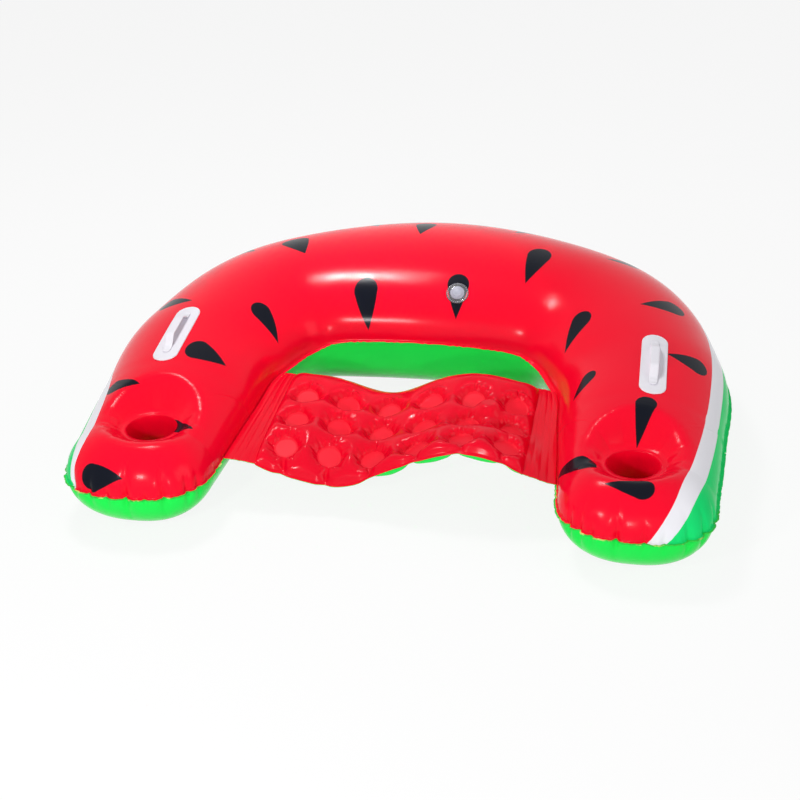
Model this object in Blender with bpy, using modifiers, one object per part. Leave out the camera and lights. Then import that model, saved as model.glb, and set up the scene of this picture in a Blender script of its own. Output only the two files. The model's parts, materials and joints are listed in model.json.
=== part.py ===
"""U-shaped inflatable lounge ring: a two-film tube, a tufted seat panel, cup wells, handles and valves.

Metres, +Z up. The open front faces -Y. The origin is on the ground under the middle of the ring.
"""
import math

import bmesh
import bpy
import numpy as np
from mathutils import Matrix, Vector

# Films and welds
FILM = 0.0004                     # thickness of each welded film
GAP = 0.0003                      # clearance between pieces that touch
OUTER_WELD = 0.005                # flat weld margin along the outer seam
INNER_WELD = 0.008                # the same along the inner seam, which also carries the seat
SETTLE = 0.0045                   # how far the ground flattens the tube

# Tube in plan: half sizes of its centreline, from the tips to the middle of the back
RING_DEPTH = 0.895
ARM_SPREAD = 0.387                # middle of the ring to the middle of an arm
SHOULDER_SPREAD = 0.280           # the same where the arm has turned into the back
ARM_END_OFFSET = 0.014            # where the arms start to turn, in front of the origin
SHOULDER_REACH = 0.1835           # origin to that turn, towards the back
arm_spread_shares = (1.0, 0.998, 0.980)

# Tube sections at four places from tip to back: half width and half height
WIDTHS = (0.118, 0.135, 0.1605, 0.195)
HEIGHTS = (0.0825, 0.0995, 0.118, 0.1315)
section_place_shares = (0.0, 0.25, 0.6, 1.0)
tip_length_share = 0.9            # a tip's length in shares of its half width
TIP_SQUARENESS = 2.5              # exponent of the tips' outline; 2 is an ellipse
TIP_PUCKER = 0.003                # depth of the gathers round a tip's seam

# Cup wells
WELL_RADIUS = 0.040
WELL_LIP_HEIGHT = 0.130
WELL_FLOOR_HEIGHT = 0.058
WELL_WELD = 0.007                 # weld flange at each end of a well's wall
WELL_FLAT_MARGIN = 0.002          # flat film beyond the flange
WELL_SETBACK = 0.0265             # well's axis behind the tip's centre
WELL_INSET = 0.008                # and towards the seat
DIP_RADIUS = 0.090                # how far the pulled-down film reaches
DIP_RADIUS_BELOW = 0.085

# Seat panel
SEAT_REAR = -0.056                # edges of the inflated part on the middle line
SEAT_FRONT = -0.309
SEAT_BOW = 0.004                  # how much further back the panel lies at the arms
SEAT_EDGE_WELD = 0.005            # flat margin at the front and the rear
SEAT_CLEARANCE = 0.002            # tube wall to the seat's side margin
SEAT_LIFT = 0.0006                # seat's side margin above the tube's weld
SEAT_SWELL = 0.028                # crown of the panel over its middle plane
SEAT_SAG = 0.020                  # depth of the fold in the panel
TUFT_PITCH = 0.071
TUFT_ROW_PITCH = 0.071
TUFT_FIRST_ROW = 0.074            # rear edge to the first row of welds
TUFT_RADIUS = 0.0195
TUFT_RISE = 0.012                 # how quickly the film rises beside a weld
EDGE_RISE = 0.030                 # and beside the panel's edge
TUFT_COLUMNS = 6
TUFT_ROWS = 3
fold_shares = ((-1.0, 0.0), (-0.6, 0.1), (-0.12, -1.0), (0.45, 1.5), (1.0, 0.0))

# Grab handles
HANDLE_LENGTH = 0.161
HANDLE_WIDTH = 0.0425
HANDLE_THICKNESS = 0.0018
HANDLE_OUTSET = 0.012             # outwards from the arm's crown
HANDLE_PLACE = -0.108             # centre along the arm, from the origin
STRAP_LENGTH = 0.121
STRAP_WIDTH = 0.014
STRAP_THICKNESS = 0.0025
STRAP_FOOT = 0.013
STRAP_RISE_LENGTH = 0.024
FINGER_HEIGHT = 0.013             # room under the strap

# Air valves, one on the back and one under the seat
VALVE_FLANGE_RADIUS = 0.020
VALVE_FLANGE_THICKNESS = 0.0012
FILM_HOLE_RADIUS = 0.0112
NECK_RADIUS = 0.0075
NECK_BORE_RADIUS = 0.0050
NECK_CLEARANCE = 0.0004
NECK_DEPTH = 0.020
NECK_COLLAR_RADIUS = 0.0125
NECK_STOP_RADIUS = 0.0092
NECK_LIP = 0.0015                 # thickness of the collar and of the stop
CAP_RADIUS = 0.0085
CAP_THICKNESS = 0.0016
PLUG_LENGTH = 0.004
PLUG_TOP_RADIUS = 0.0046
PLUG_END_RADIUS = 0.0040
STOPPER_HINGE = 0.0115            # valve's axis to the stopper's hinge
FLAP_RADIUS = 0.0072
FLAP_THICKNESS = 0.0008
FLAP_HINGE = 0.0080
TETHER_WIDTH = 0.004
VALVE_STATION = 2                 # loft section, counted from the middle of the back, that carries it
VALVE_ROW = 3                     # and the point on that section, counted from the inner seam
SEAT_VALVE_COLUMN = 5             # tuft cell corner that carries the seat's valve
SEAT_VALVE_ROW = 1
SEAT_VALVE_FLAT = 0.030           # radius of the flat round that valve
SEAT_VALVE_SWELL = 0.022          # and its distance from the panel's middle plane

# Counts
PATH_SAMPLES = 400
TURN_SAMPLES = 40
STATIONS = 22
SECTION_STEPS = 14
SEAM_SAMPLES = 18                 # along the inner seam beside the seat
SIDE_STEPS = 3
TIP_STEPS = 14
DIP_RINGS = 7
WELL_STEPS = 32
VALVE_STEPS = 20
HOLE_STEPS = 6
HANDLE_END_STEPS = 5
HANDLE_COLUMNS = 4
STRAP_STEPS = 8
patch_start_share = 0.175         # where the loft hands over to the rings round a well

MERGE = 0.00005
CUT_OVERRUN = 0.010


# Curves and smooth steps

def smooth(knots, values, at):
    """Value of a smooth curve through values at knots, with slopes from the neighbouring values."""
    last = len(knots) - 1
    i = 0
    while i < last - 1 and at > knots[i + 1]:
        i += 1
    span = knots[i + 1] - knots[i]

    def slope(k):
        low, high = max(k - 1, 0), min(k + 1, last)
        return (values[high] - values[low]) / (knots[high] - knots[low])

    t = (at - knots[i]) / span
    t2, t3 = t * t, t * t * t
    return (values[i] * (2 * t3 - 3 * t2 + 1) + slope(i) * (span * (t3 - 2 * t2 + t))
            + values[i + 1] * (3 * t2 - 2 * t3) + slope(i + 1) * (span * (t3 - t2)))


def ease(value):
    value = min(max(value, 0.0), 1.0)
    return value * value * (3 - 2 * value)


# Plan and sections of the tube

TIP_CENTRE = RING_DEPTH / 2 - OUTER_WELD - WIDTHS[0] * tip_length_share
BACK_CENTRE = RING_DEPTH / 2 - OUTER_WELD - WIDTHS[-1]


def trace_centreline():
    """Even samples of the right half of the centreline, from the tip to the middle of the back."""
    arm = [Vector((ARM_SPREAD * share, -TIP_CENTRE * (2 - i) / 2 - ARM_END_OFFSET * i / 2))
           for i, share in enumerate(arm_spread_shares)]
    shoulder = Vector((SHOULDER_SPREAD, SHOULDER_REACH))
    points = arm + [shoulder, Vector((0, BACK_CENTRE)), Vector((-shoulder.x, shoulder.y))]
    knots = [0.0]
    for a, b in zip(points, points[1:]):
        knots.append(knots[-1] + math.sqrt((b - a).length))
    fine = [smooth(knots, points, knots[-2] * i / PATH_SAMPLES) for i in range(PATH_SAMPLES + 1)]
    run = [0.0]
    for a, b in zip(fine, fine[1:]):
        run.append(run[-1] + (b - a).length)
    even = np.linspace(0, run[-1], PATH_SAMPLES + 1)
    return [Vector((float(np.interp(s, run, [p.x for p in fine])),
                    float(np.interp(s, run, [p.y for p in fine])))) for s in even]


CENTRELINE = trace_centreline()
CENTRELINE_ARRAY = np.array([tuple(p) for p in CENTRELINE])


def at_share(share):
    """Point and outward plan normal of the centreline at a share of the way from tip to back."""
    place = share * PATH_SAMPLES
    i = min(int(place), PATH_SAMPLES - 1)
    point = CENTRELINE[i].lerp(CENTRELINE[i + 1], place - i)
    # The direction is taken over a longer stretch, so that sections don't cross inside the tight corners
    low, high = max(i - TURN_SAMPLES, 0), i + 1 + TURN_SAMPLES
    ahead = CENTRELINE[min(high, 2 * PATH_SAMPLES - high)].copy()
    if high > PATH_SAMPLES:
        ahead.x = -ahead.x
    along = (ahead - CENTRELINE[low]).normalized()
    if share >= 1:
        along = Vector((-1, 0))
    return point, Vector((along.y, -along.x))


def section(share):
    """Half width and half height of the tube at a share of the way from tip to back."""
    knots = section_place_shares + (2 - section_place_shares[-2],)
    return tuple(smooth(knots, sizes + (sizes[-2],), share) for sizes in (WIDTHS, HEIGHTS))


def seam_height(share):
    return section(share)[1] + FILM + GAP / 2 - SETTLE


def tip_reach(ahead):
    """Reach of a tip's outline in shares of its half width, by the sine of the angle from its sides."""
    beside = math.sqrt(max(1 - ahead * ahead, 0))
    return (beside ** TIP_SQUARENESS + (ahead / tip_length_share) ** TIP_SQUARENESS) ** (-1 / TIP_SQUARENESS)


def nearest(x, y):
    """Share of the centreline nearest to a plan point, and the offset in shares of the half width."""
    gaps = np.hypot(CENTRELINE_ARRAY[:, 0] - abs(x), CENTRELINE_ARRAY[:, 1] - y)
    i = int(np.argmin(gaps))
    share = i / PATH_SAMPLES
    width = section(share)[0]
    if y < CENTRELINE[0].y:
        width *= tip_reach((CENTRELINE[0].y - y) / max(float(gaps[i]), MERGE))
    return share, min(float(gaps[i]) / width, 1.0)


def film_height(x, y, upper):
    """Height of the tube's outer surface over a plan point, before the cup wells pull it in."""
    share, offset = nearest(x, y)
    swell = section(share)[1] * math.sqrt(1 - offset * offset) + FILM + GAP / 2
    return seam_height(share) + swell if upper else max(seam_height(share) - swell, 0.0)


WELL_CENTRE = Vector((CENTRELINE[0].x - WELL_INSET, CENTRELINE[0].y + WELL_SETBACK))
WELL_FLAT_RADIUS = WELL_RADIUS + WELL_WELD + WELL_FLAT_MARGIN


def dipped_height(x, y, upper):
    """Height of the film's outer surface with the dip round the cup well."""
    distance = (Vector((x, y)) - WELL_CENTRE).length
    reach = DIP_RADIUS if upper else DIP_RADIUS_BELOW
    level = WELL_LIP_HEIGHT if upper else WELL_FLOOR_HEIGHT
    amount = ease((distance - WELL_FLAT_RADIUS) / (reach - WELL_FLAT_RADIUS))
    return level + (film_height(x, y, upper) - level) * amount


def section_points(share, upper):
    """Points across the tube from the inner weld's edge to the outer weld's edge."""
    centre, outward = at_share(share)
    width, height = section(share)
    seam = seam_height(share)
    sign = 1 if upper else -1
    edge = seam + sign * (FILM + GAP / 2)
    points = [(centre - outward * (width + INNER_WELD)).to_3d() + Vector((0, 0, edge))]
    for i in range(SECTION_STEPS + 1):
        angle = math.pi * (i / SECTION_STEPS - 0.5)
        flat = centre + outward * (width * math.sin(angle))
        level = edge + sign * height * math.cos(angle)
        points.append(Vector((flat.x, flat.y, max(level, 0.0))))
    points.append((centre + outward * (width + OUTER_WELD)).to_3d() + Vector((0, 0, edge)))
    return points


def tip_outline():
    """Seam points round a tip from the loft's last section, inner side first, with their outward normals."""
    outline = []
    for side in (-1, 1):
        run = []
        for i in range(1, SIDE_STEPS + 1):
            share = patch_start_share * (1 - i / SIDE_STEPS)
            centre, outward = at_share(share)
            width = section(share)[0]
            run.append((centre + outward * side * width, outward * side, share, 0))
        outline.append(run)
    centre, outward = at_share(0)
    forward = Vector((outward.y, -outward.x))
    front = []
    for i in range(1, TIP_STEPS):
        angle = math.pi * i / TIP_STEPS
        away = forward * math.sin(angle) - outward * math.cos(angle)
        width = WIDTHS[0] * tip_reach(math.sin(angle))
        front.append((centre + away * width, away, 0, (i + 1) % 2))
    return outline[0] + front + outline[1][::-1]


# Building helpers

collections = {}


def collection(name):
    if name not in collections:
        collections[name] = bpy.data.collections.new(name)
        bpy.context.scene.collection.children.link(collections[name])
    return collections[name]


def material(name, color, roughness, metallic=0.0):
    made = bpy.data.materials.new(name)
    made.use_nodes = True
    shader = made.node_tree.nodes["Principled BSDF"]
    shader.inputs["Base Color"].default_value = (*color, 1)
    shader.inputs["Roughness"].default_value = roughness
    shader.inputs["Metallic"].default_value = metallic
    return made


def add_object(name, data, look, group="swim_ring"):
    made = bpy.data.objects.new(name, data)
    if look:
        data.materials.append(look)
    collection(group).objects.link(made)
    return made


def mesh_from(bm, name, sharp_angle=math.radians(40)):
    mesh = bpy.data.meshes.new(name)
    bm.to_mesh(mesh)
    bm.free()
    mesh.shade_smooth()
    mesh.set_sharp_from_angle(angle=sharp_angle)
    return mesh


def film_modifiers(made, mirrored):
    """Mirror a half, then give the open surface the film's thickness on its inner side."""
    if mirrored:
        mirror = made.modifiers.new("Mirror", "MIRROR")
        mirror.use_axis[0] = True
        mirror.merge_threshold = MERGE
    made.modifiers.new("Triangulate", "TRIANGULATE")
    wall = made.modifiers.new("Solidify", "SOLIDIFY")
    wall.thickness = FILM
    wall.offset = -1
    wall.use_even_offset = True


def face_outward(bm, upper):
    """Turn all faces of an open film so that the topmost or lowest one looks away from the air inside."""
    bmesh.ops.recalc_face_normals(bm, faces=bm.faces)
    extreme = max(bm.faces, key=lambda f: abs(f.normal.z) * f.calc_area())
    if (extreme.normal.z > 0) != upper:
        bmesh.ops.reverse_faces(bm, faces=bm.faces)


def turned(name, profile, look, steps, group="swim_ring"):
    """A turned piece from a profile of radius and height pairs that runs down its outer side."""
    bm = bmesh.new()
    verts = [bm.verts.new((radius, 0, height)) for radius, height in profile]
    closed = profile[0][0] > 0
    for a, b in zip(verts, verts[1:] + (verts[:1] if closed else [])):
        bm.edges.new((a, b))
    made = add_object(name, mesh_from(bm, name), look, group)
    screw = made.modifiers.new("Screw", "SCREW")
    screw.steps = screw.render_steps = steps
    screw.use_merge_vertices = True
    screw.merge_threshold = MERGE
    screw.use_smooth_shade = True
    return made


def boolean(made, other, operation):
    cut = made.modifiers.new(operation.title(), "BOOLEAN")
    cut.operation = operation
    cut.solver = "EXACT"
    cut.object = other


def round_cutter(name, radius, depth, parent=None):
    """A hidden cylinder on the Z axis of its parent, used to cut."""
    bm = bmesh.new()
    bmesh.ops.create_cone(bm, cap_ends=True, segments=HOLE_STEPS, radius1=radius, radius2=radius, depth=depth)
    made = add_object(name, mesh_from(bm, name), None, "cutters")
    made.hide_render = True
    made.display_type = "WIRE"
    made.parent = parent
    return made


def frame_empty(name, origin, x_axis, z_axis):
    """An empty whose axes are the two given ones and their cross product."""
    z_axis = z_axis.normalized()
    x_axis = (x_axis - z_axis * x_axis.dot(z_axis)).normalized()
    y_axis = z_axis.cross(x_axis)
    made = bpy.data.objects.new(name, None)
    collection("swim_ring").objects.link(made)
    rotation = Matrix((x_axis, y_axis, z_axis)).transposed().to_4x4()
    made.matrix_world = Matrix.Translation(origin) @ rotation
    return made


# Tube films

def build_tube_film(name, look, upper):
    """Half of one film: a loft along the arm and back, then rings round the cup well out to the seam."""
    bm = bmesh.new()
    rows = []
    for i in range(STATIONS + 1):
        share = 1 - (1 - patch_start_share) * i / STATIONS
        rows.append([bm.verts.new(p) for p in section_points(share, upper)])
    for a, b in zip(rows, rows[1:]):
        for j in range(len(a) - 1):
            bm.faces.new((a[j], a[j + 1], b[j + 1], b[j]))

    # Outer ends of the rays from the well: the last section's points, then the seam round the tip
    last = rows[-1]
    ends = [(v.co.copy(), v, 0, None) for v in last[-2:0:-1]]
    sign = 1 if upper else -1
    welds = []
    for point, away, share, gathered in tip_outline():
        level = seam_height(share) + sign * (FILM + GAP / 2)
        tucked = point - away * TIP_PUCKER * gathered
        ends.append((Vector((point.x, point.y, level)), None, gathered, away))
        welds.append((tucked, away, level, share))

    rays = []
    for target, seam_vertex, gathered, away in ends:
        direction = (target.to_2d() - WELL_CENTRE).normalized()
        start = WELL_CENTRE + direction * WELL_FLAT_RADIUS
        ray = []
        if upper:
            rim = WELL_CENTRE + direction * (WELL_RADIUS + GAP)
            ray.append(bm.verts.new((rim.x, rim.y, WELL_LIP_HEIGHT)))
        for k in range(DIP_RINGS):
            t = math.sin(math.pi / 2 * k / DIP_RINGS)
            flat = start.lerp(target.to_2d(), t)
            if gathered:
                flat -= away * TIP_PUCKER * t ** 4
            ray.append(bm.verts.new((flat.x, flat.y, dipped_height(flat.x, flat.y, upper))))
        if seam_vertex is None:
            flat = target.to_2d() - (away * TIP_PUCKER if gathered else Vector((0, 0)))
            seam_vertex = bm.verts.new((flat.x, flat.y, target.z))
        ray.append(seam_vertex)
        rays.append(ray)
    for a, b in zip(rays, rays[1:] + rays[:1]):
        for k in range(len(a) - 1):
            bm.faces.new((a[k], a[k + 1], b[k + 1], b[k]))
    if not upper:
        bm.faces.new([ray[0] for ray in rays])

    # Weld margin round the tip, from the inner one of the last section to the outer one
    margin = [last[0]]
    for i, (flat, away, level, share) in enumerate(welds):
        blend = min(i / SIDE_STEPS, 1)
        reach = flat + away * (INNER_WELD + (OUTER_WELD - INNER_WELD) * blend)
        margin.append(bm.verts.new((reach.x, reach.y, level)))
    margin.append(last[-1])
    seam = [last[1]] + [ray[-1] for ray in rays[SECTION_STEPS + 1:]] + [last[-2]]
    for i in range(len(margin) - 1):
        bm.faces.new((margin[i], margin[i + 1], seam[i + 1], seam[i]))

    face_outward(bm, upper)
    made = add_object(name, mesh_from(bm, name), look)
    film_modifiers(made, mirrored=True)
    return made


# Cup wells

def build_cup_wall(name, side, look):
    """A rolled film wall with a weld flange turned out at each end."""
    top = WELL_LIP_HEIGHT - FILM - GAP
    foot = WELL_FLOOR_HEIGHT + FILM + GAP
    rim = WELL_RADIUS + WELL_WELD
    outside = WELL_RADIUS + FILM
    profile = [(WELL_RADIUS, top), (rim, top), (rim, top - FILM), (outside, top - FILM),
               (outside, foot + FILM), (rim, foot + FILM), (rim, foot), (WELL_RADIUS, foot)]
    made = turned(name, profile, look, WELL_STEPS)
    made.location = (side * WELL_CENTRE.x, WELL_CENTRE.y, 0)
    return made


# Seat panel

TUFT_SPAN = TUFT_PITCH * TUFT_COLUMNS / 2
row_lines = [SEAT_REAR, *(SEAT_REAR - TUFT_FIRST_ROW - TUFT_ROW_PITCH * (i + 0.5)
                          for i in range(TUFT_ROWS - 1)), SEAT_FRONT]
tuft_rows = [SEAT_REAR - TUFT_FIRST_ROW - TUFT_ROW_PITCH * i for i in range(TUFT_ROWS)]
tuft_columns = [TUFT_PITCH * (i + 0.5) - TUFT_SPAN for i in range(TUFT_COLUMNS)]


def inner_seam(y):
    """Half width and height of the ring's inner seam at a place along the arms."""
    table = []
    for i in range(PATH_SAMPLES + 1):
        share = i / PATH_SAMPLES * section_place_shares[2]
        centre, outward = at_share(share)
        edge = centre - outward * section(share)[0]
        table.append((edge.y, edge.x, seam_height(share)))
    ys, xs, zs = zip(*table)
    return float(np.interp(y, ys, xs)), float(np.interp(y, ys, zs))


SEAM_YS = np.linspace(SEAT_FRONT - INNER_WELD, SEAT_REAR + SEAT_BOW + INNER_WELD, SEAM_SAMPLES)
SEAM_TABLE = [inner_seam(float(y)) for y in SEAM_YS]


def seat_edge(y):
    """Half width of the panel and height of its middle plane, beside the arms at y."""
    half = float(np.interp(y, SEAM_YS, [row[0] for row in SEAM_TABLE])) - SEAT_CLEARANCE
    seam = float(np.interp(y, SEAM_YS, [row[1] for row in SEAM_TABLE]))
    return half, seam + GAP / 2 + FILM + SEAT_LIFT + FILM + GAP / 2


def seat_plane(x, y):
    """Height of the panel's middle plane, folded across its width."""
    half, level = seat_edge(y)
    places, amounts = zip(*fold_shares)
    return level + SEAT_SAG * smooth(places, amounts, max(min(x / half, 1.0), -1.0))


def bowed(x, y):
    half = seat_edge(y)[0]
    return y + SEAT_BOW * (x / half) ** 2


def seat_swell(x, y):
    """Height of the inflated film over the middle plane at unbowed plan coordinates."""
    to_edge = min(TUFT_SPAN - abs(x), SEAT_REAR - y, y - SEAT_FRONT)
    to_tuft = min(math.hypot(x - cx, y - cy) for cx in tuft_columns for cy in tuft_rows) - TUFT_RADIUS
    if to_edge <= MERGE or to_tuft <= MERGE:
        return 0.0
    edge = math.sin(min(to_edge / EDGE_RISE, 1.0) * math.pi / 2)
    return SEAT_SWELL * edge * (1 - math.exp(-to_tuft / TUFT_RISE))


SEAT_VALVE_X = TUFT_PITCH * SEAT_VALVE_COLUMN - TUFT_SPAN
SEAT_VALVE_Y = row_lines[SEAT_VALVE_ROW]
SEAT_VALVE_LEVEL = seat_plane(SEAT_VALVE_X, SEAT_VALVE_Y) - SEAT_VALVE_SWELL


def seat_point(x, y, upper, beside=None):
    """Outer surface point of a seat film; 'beside' moves it to the panel's edge at the arm."""
    swell = 0.0 if beside else seat_swell(x, y)
    y = bowed(x, y)
    if beside:
        x = beside * seat_edge(y)[0]
    level = seat_plane(x, y)
    cover = FILM + GAP / 2
    if upper:
        return Vector((x, y, level + cover + swell))
    place = Vector((x, y, level - cover - swell))
    valve = Vector((SEAT_VALVE_X, bowed(SEAT_VALVE_X, SEAT_VALVE_Y)))
    if (place.to_2d() - valve).length < SEAT_VALVE_FLAT and swell > 0:
        place.z = SEAT_VALVE_LEVEL
    return place


def build_seat_film(name, look, upper):
    """A film of tuft cells, each a flat weld disc with a ring and the cell's outline round it."""
    bm = bmesh.new()

    def vertex(x, y, beside=None):
        return bm.verts.new(seat_point(x, y, upper, beside))

    thirds = (0, 1 / 3, 2 / 3)
    for column, cx in enumerate(tuft_columns):
        left = TUFT_PITCH * column - TUFT_SPAN
        for row, cy in enumerate(tuft_rows):
            rear, front = row_lines[row], row_lines[row + 1]
            outline = ([(left + TUFT_PITCH * t, rear) for t in thirds]
                       + [(left + TUFT_PITCH, rear + (front - rear) * t) for t in thirds]
                       + [(left + TUFT_PITCH * (1 - t), front) for t in thirds]
                       + [(left, front + (rear - front) * t) for t in thirds])
            disc, crown, cell = [], [], []
            for x, y in outline:
                away = Vector((x - cx, y - cy))
                rim = away.normalized() * TUFT_RADIUS
                middle = rim.lerp(away, 0.45)
                disc.append(vertex(cx + rim.x, cy + rim.y))
                crown.append(vertex(cx + middle.x, cy + middle.y))
                cell.append(vertex(x, y))
            # Both films split the weld disc alike, so that they stay apart where the fold bends it
            for k in range(len(disc) // 2 - 1):
                bm.faces.new((disc[k], disc[k + 1], disc[-1 - k]))
                bm.faces.new((disc[k + 1], disc[-2 - k], disc[-1 - k]))
            for inner, outer in ((disc, crown), (crown, cell)):
                for i in range(len(outline)):
                    j = (i + 1) % len(outline)
                    bm.faces.new((inner[i], inner[j], outer[j], outer[i]))

    # Flat margins: wide ones to the arms' seams, narrow ones along the front and the rear
    lines = [a + (b - a) * t for a, b in zip(row_lines, row_lines[1:]) for t in thirds] + [SEAT_FRONT]
    for side in (-1, 1):
        pairs = [(vertex(side * TUFT_SPAN, y), vertex(side * TUFT_SPAN, y, side)) for y in lines]
        for a, b in zip(pairs, pairs[1:]):
            bm.faces.new((a[0], a[1], b[1], b[0]))
    steps = TUFT_COLUMNS * len(thirds)
    for edge, reach in ((SEAT_REAR, SEAT_EDGE_WELD), (SEAT_FRONT, -SEAT_EDGE_WELD)):
        places = [seat_point(-TUFT_SPAN, edge, upper, -1)]
        places += [seat_point(TUFT_PITCH * i / len(thirds) - TUFT_SPAN, edge, upper)
                   for i in range(steps + 1)]
        places.append(seat_point(TUFT_SPAN, edge, upper, 1))
        inner = [bm.verts.new(p) for p in places]
        outer = [bm.verts.new(p + Vector((0, reach, 0))) for p in places]
        for i in range(len(places) - 1):
            bm.faces.new((inner[i], inner[i + 1], outer[i + 1], outer[i]))

    bmesh.ops.remove_doubles(bm, verts=bm.verts, dist=MERGE)
    face_outward(bm, upper)
    made = add_object(name, mesh_from(bm, name), look)
    film_modifiers(made, mirrored=False)
    return made


# Grab handles

def handle_level(x, y):
    return film_height(x, y, True) + GAP


def build_handle(label, side, look):
    """A thin patch that follows the arm, and a strap that arches over it for the fingers."""
    share = nearest(ARM_SPREAD, HANDLE_PLACE)[0]
    crown = at_share(share)[0].x
    middle_x = crown + HANDLE_OUTSET
    radius = HANDLE_WIDTH / 2
    straight = HANDLE_LENGTH / 2 - radius
    stops = []
    for i in range(HANDLE_END_STEPS + 1):
        angle = math.pi / 2 * (1 - i / HANDLE_END_STEPS)
        stops.append((straight + radius * math.sin(angle), radius * math.cos(angle)))
    stops += [(straight / 2, radius), (0, radius)]
    stops += [(-y, half) for y, half in stops[-2::-1]]

    bm = bmesh.new()
    rows = []
    for y, half in stops:
        row = []
        for j in range(HANDLE_COLUMNS + 1):
            x = middle_x + half * (2 * j / HANDLE_COLUMNS - 1)
            level = handle_level(x, HANDLE_PLACE + y)
            row.append(bm.verts.new((side * x, HANDLE_PLACE + y, level)))
        rows.append(row)
    for a, b in zip(rows, rows[1:]):
        for j in range(HANDLE_COLUMNS):
            bm.faces.new((a[j], a[j + 1], b[j + 1], b[j]))
    bmesh.ops.remove_doubles(bm, verts=bm.verts, dist=MERGE)
    face_outward(bm, True)
    base = add_object("handle_base_" + label, mesh_from(bm, "handle_base_" + label), look)
    base.modifiers.new("Triangulate", "TRIANGULATE")
    wall = base.modifiers.new("Solidify", "SOLIDIFY")
    wall.thickness = HANDLE_THICKNESS
    wall.offset = 1
    wall.use_even_offset = True

    # Frame of the strap: on the line between its two feet, square to the patch
    foot = STRAP_LENGTH / 2 - STRAP_FOOT / 2
    lateral = STRAP_WIDTH / 2
    top = HANDLE_THICKNESS + GAP
    front, rear = (Vector((middle_x, HANDLE_PLACE + y, handle_level(middle_x, HANDLE_PLACE + y)))
                   for y in (-foot, foot))
    right, left = (Vector((middle_x + x, HANDLE_PLACE, handle_level(middle_x + x, HANDLE_PLACE)))
                   for x in (lateral, -lateral))
    along, across = (rear - front).normalized(), (right - left).normalized()
    up = across.cross(along).normalized()
    origin = (front + rear) / 2 + up * top
    for vector in (along, across, up, origin):
        vector.x *= side
    place = frame_empty("handle_frame_" + label, origin, along, along.cross(up))

    # Outline in the frame's XY plane, X along the arm and Y away from the patch
    half = STRAP_LENGTH / 2
    under = [(half - STRAP_FOOT, 0)]
    for i in range(1, STRAP_STEPS + 1):
        t = i / STRAP_STEPS
        under.append((half - STRAP_FOOT - STRAP_RISE_LENGTH * t, FINGER_HEIGHT * ease(t)))
    over = [(half, 0), (half, STRAP_THICKNESS)]
    over += [(x, y + STRAP_THICKNESS) for x, y in under]
    arch = [(-x, y) for x, y in under] + under[::-1] + over
    arch += [(-x, y) for x, y in over[::-1]]
    curve = bpy.data.curves.new("handle_strap_" + label, "CURVE")
    curve.dimensions = "2D"
    curve.fill_mode = "BOTH"
    curve.extrude = STRAP_WIDTH / 2
    spline = curve.splines.new("POLY")
    spline.points.add(len(arch) - 1)
    for point, (x, y) in zip(spline.points, arch):
        point.co = (x, y, 0, 1)
    spline.use_cyclic_u = True
    strap = add_object("handle_strap_" + label, curve, look)
    strap.parent = place


# Air valves

def build_valve(prefix, place, film, look):
    """Flange on the film, sliding neck, stopper on its hinge and check flap, along the Z axis of 'place'."""
    top = VALVE_FLANGE_THICKNESS
    bore = NECK_RADIUS + NECK_CLEARANCE
    flange = turned(prefix + "_flange", [(bore, top), (VALVE_FLANGE_RADIUS - top / 2, top),
                                         (VALVE_FLANGE_RADIUS, top / 2), (VALVE_FLANGE_RADIUS, 0),
                                         (bore, 0)], look, VALVE_STEPS)
    flange.parent = place

    collar = top + GAP
    crown = collar + NECK_LIP
    bottom = -NECK_DEPTH
    stem = turned(prefix + "_stem", [(NECK_BORE_RADIUS, crown), (NECK_COLLAR_RADIUS, crown),
                                     (NECK_COLLAR_RADIUS, collar), (NECK_RADIUS, collar),
                                     (NECK_RADIUS, bottom + NECK_LIP), (NECK_STOP_RADIUS, bottom + NECK_LIP),
                                     (NECK_STOP_RADIUS, bottom), (NECK_BORE_RADIUS, bottom)],
                  look, VALVE_STEPS)
    stem.parent = place

    # Stopper and flap have their origins on their hinges, which run along Y
    seat = crown + GAP
    half = CAP_THICKNESS / 2
    stopper = turned(prefix + "_stopper", [(0, half), (CAP_RADIUS - half / 2, half),
                                           (CAP_RADIUS, half / 2), (CAP_RADIUS, -half),
                                           (PLUG_TOP_RADIUS, -half),
                                           (PLUG_END_RADIUS, -half - PLUG_LENGTH),
                                           (0, -half - PLUG_LENGTH)], look, VALVE_STEPS)
    hinged(stopper, place, STOPPER_HINGE, seat + half, CAP_RADIUS, half)

    half = FLAP_THICKNESS / 2
    flap = turned(prefix + "_flap", [(0, half), (FLAP_RADIUS, half), (FLAP_RADIUS, -half), (0, -half)],
                  look, VALVE_STEPS)
    hinged(flap, place, FLAP_HINGE, bottom - GAP - half, FLAP_RADIUS, half)

    cutter = round_cutter(prefix + "_hole_cutter", FILM_HOLE_RADIUS, CUT_OVERRUN * 2, place)
    boolean(film, cutter, "DIFFERENCE")


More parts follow.
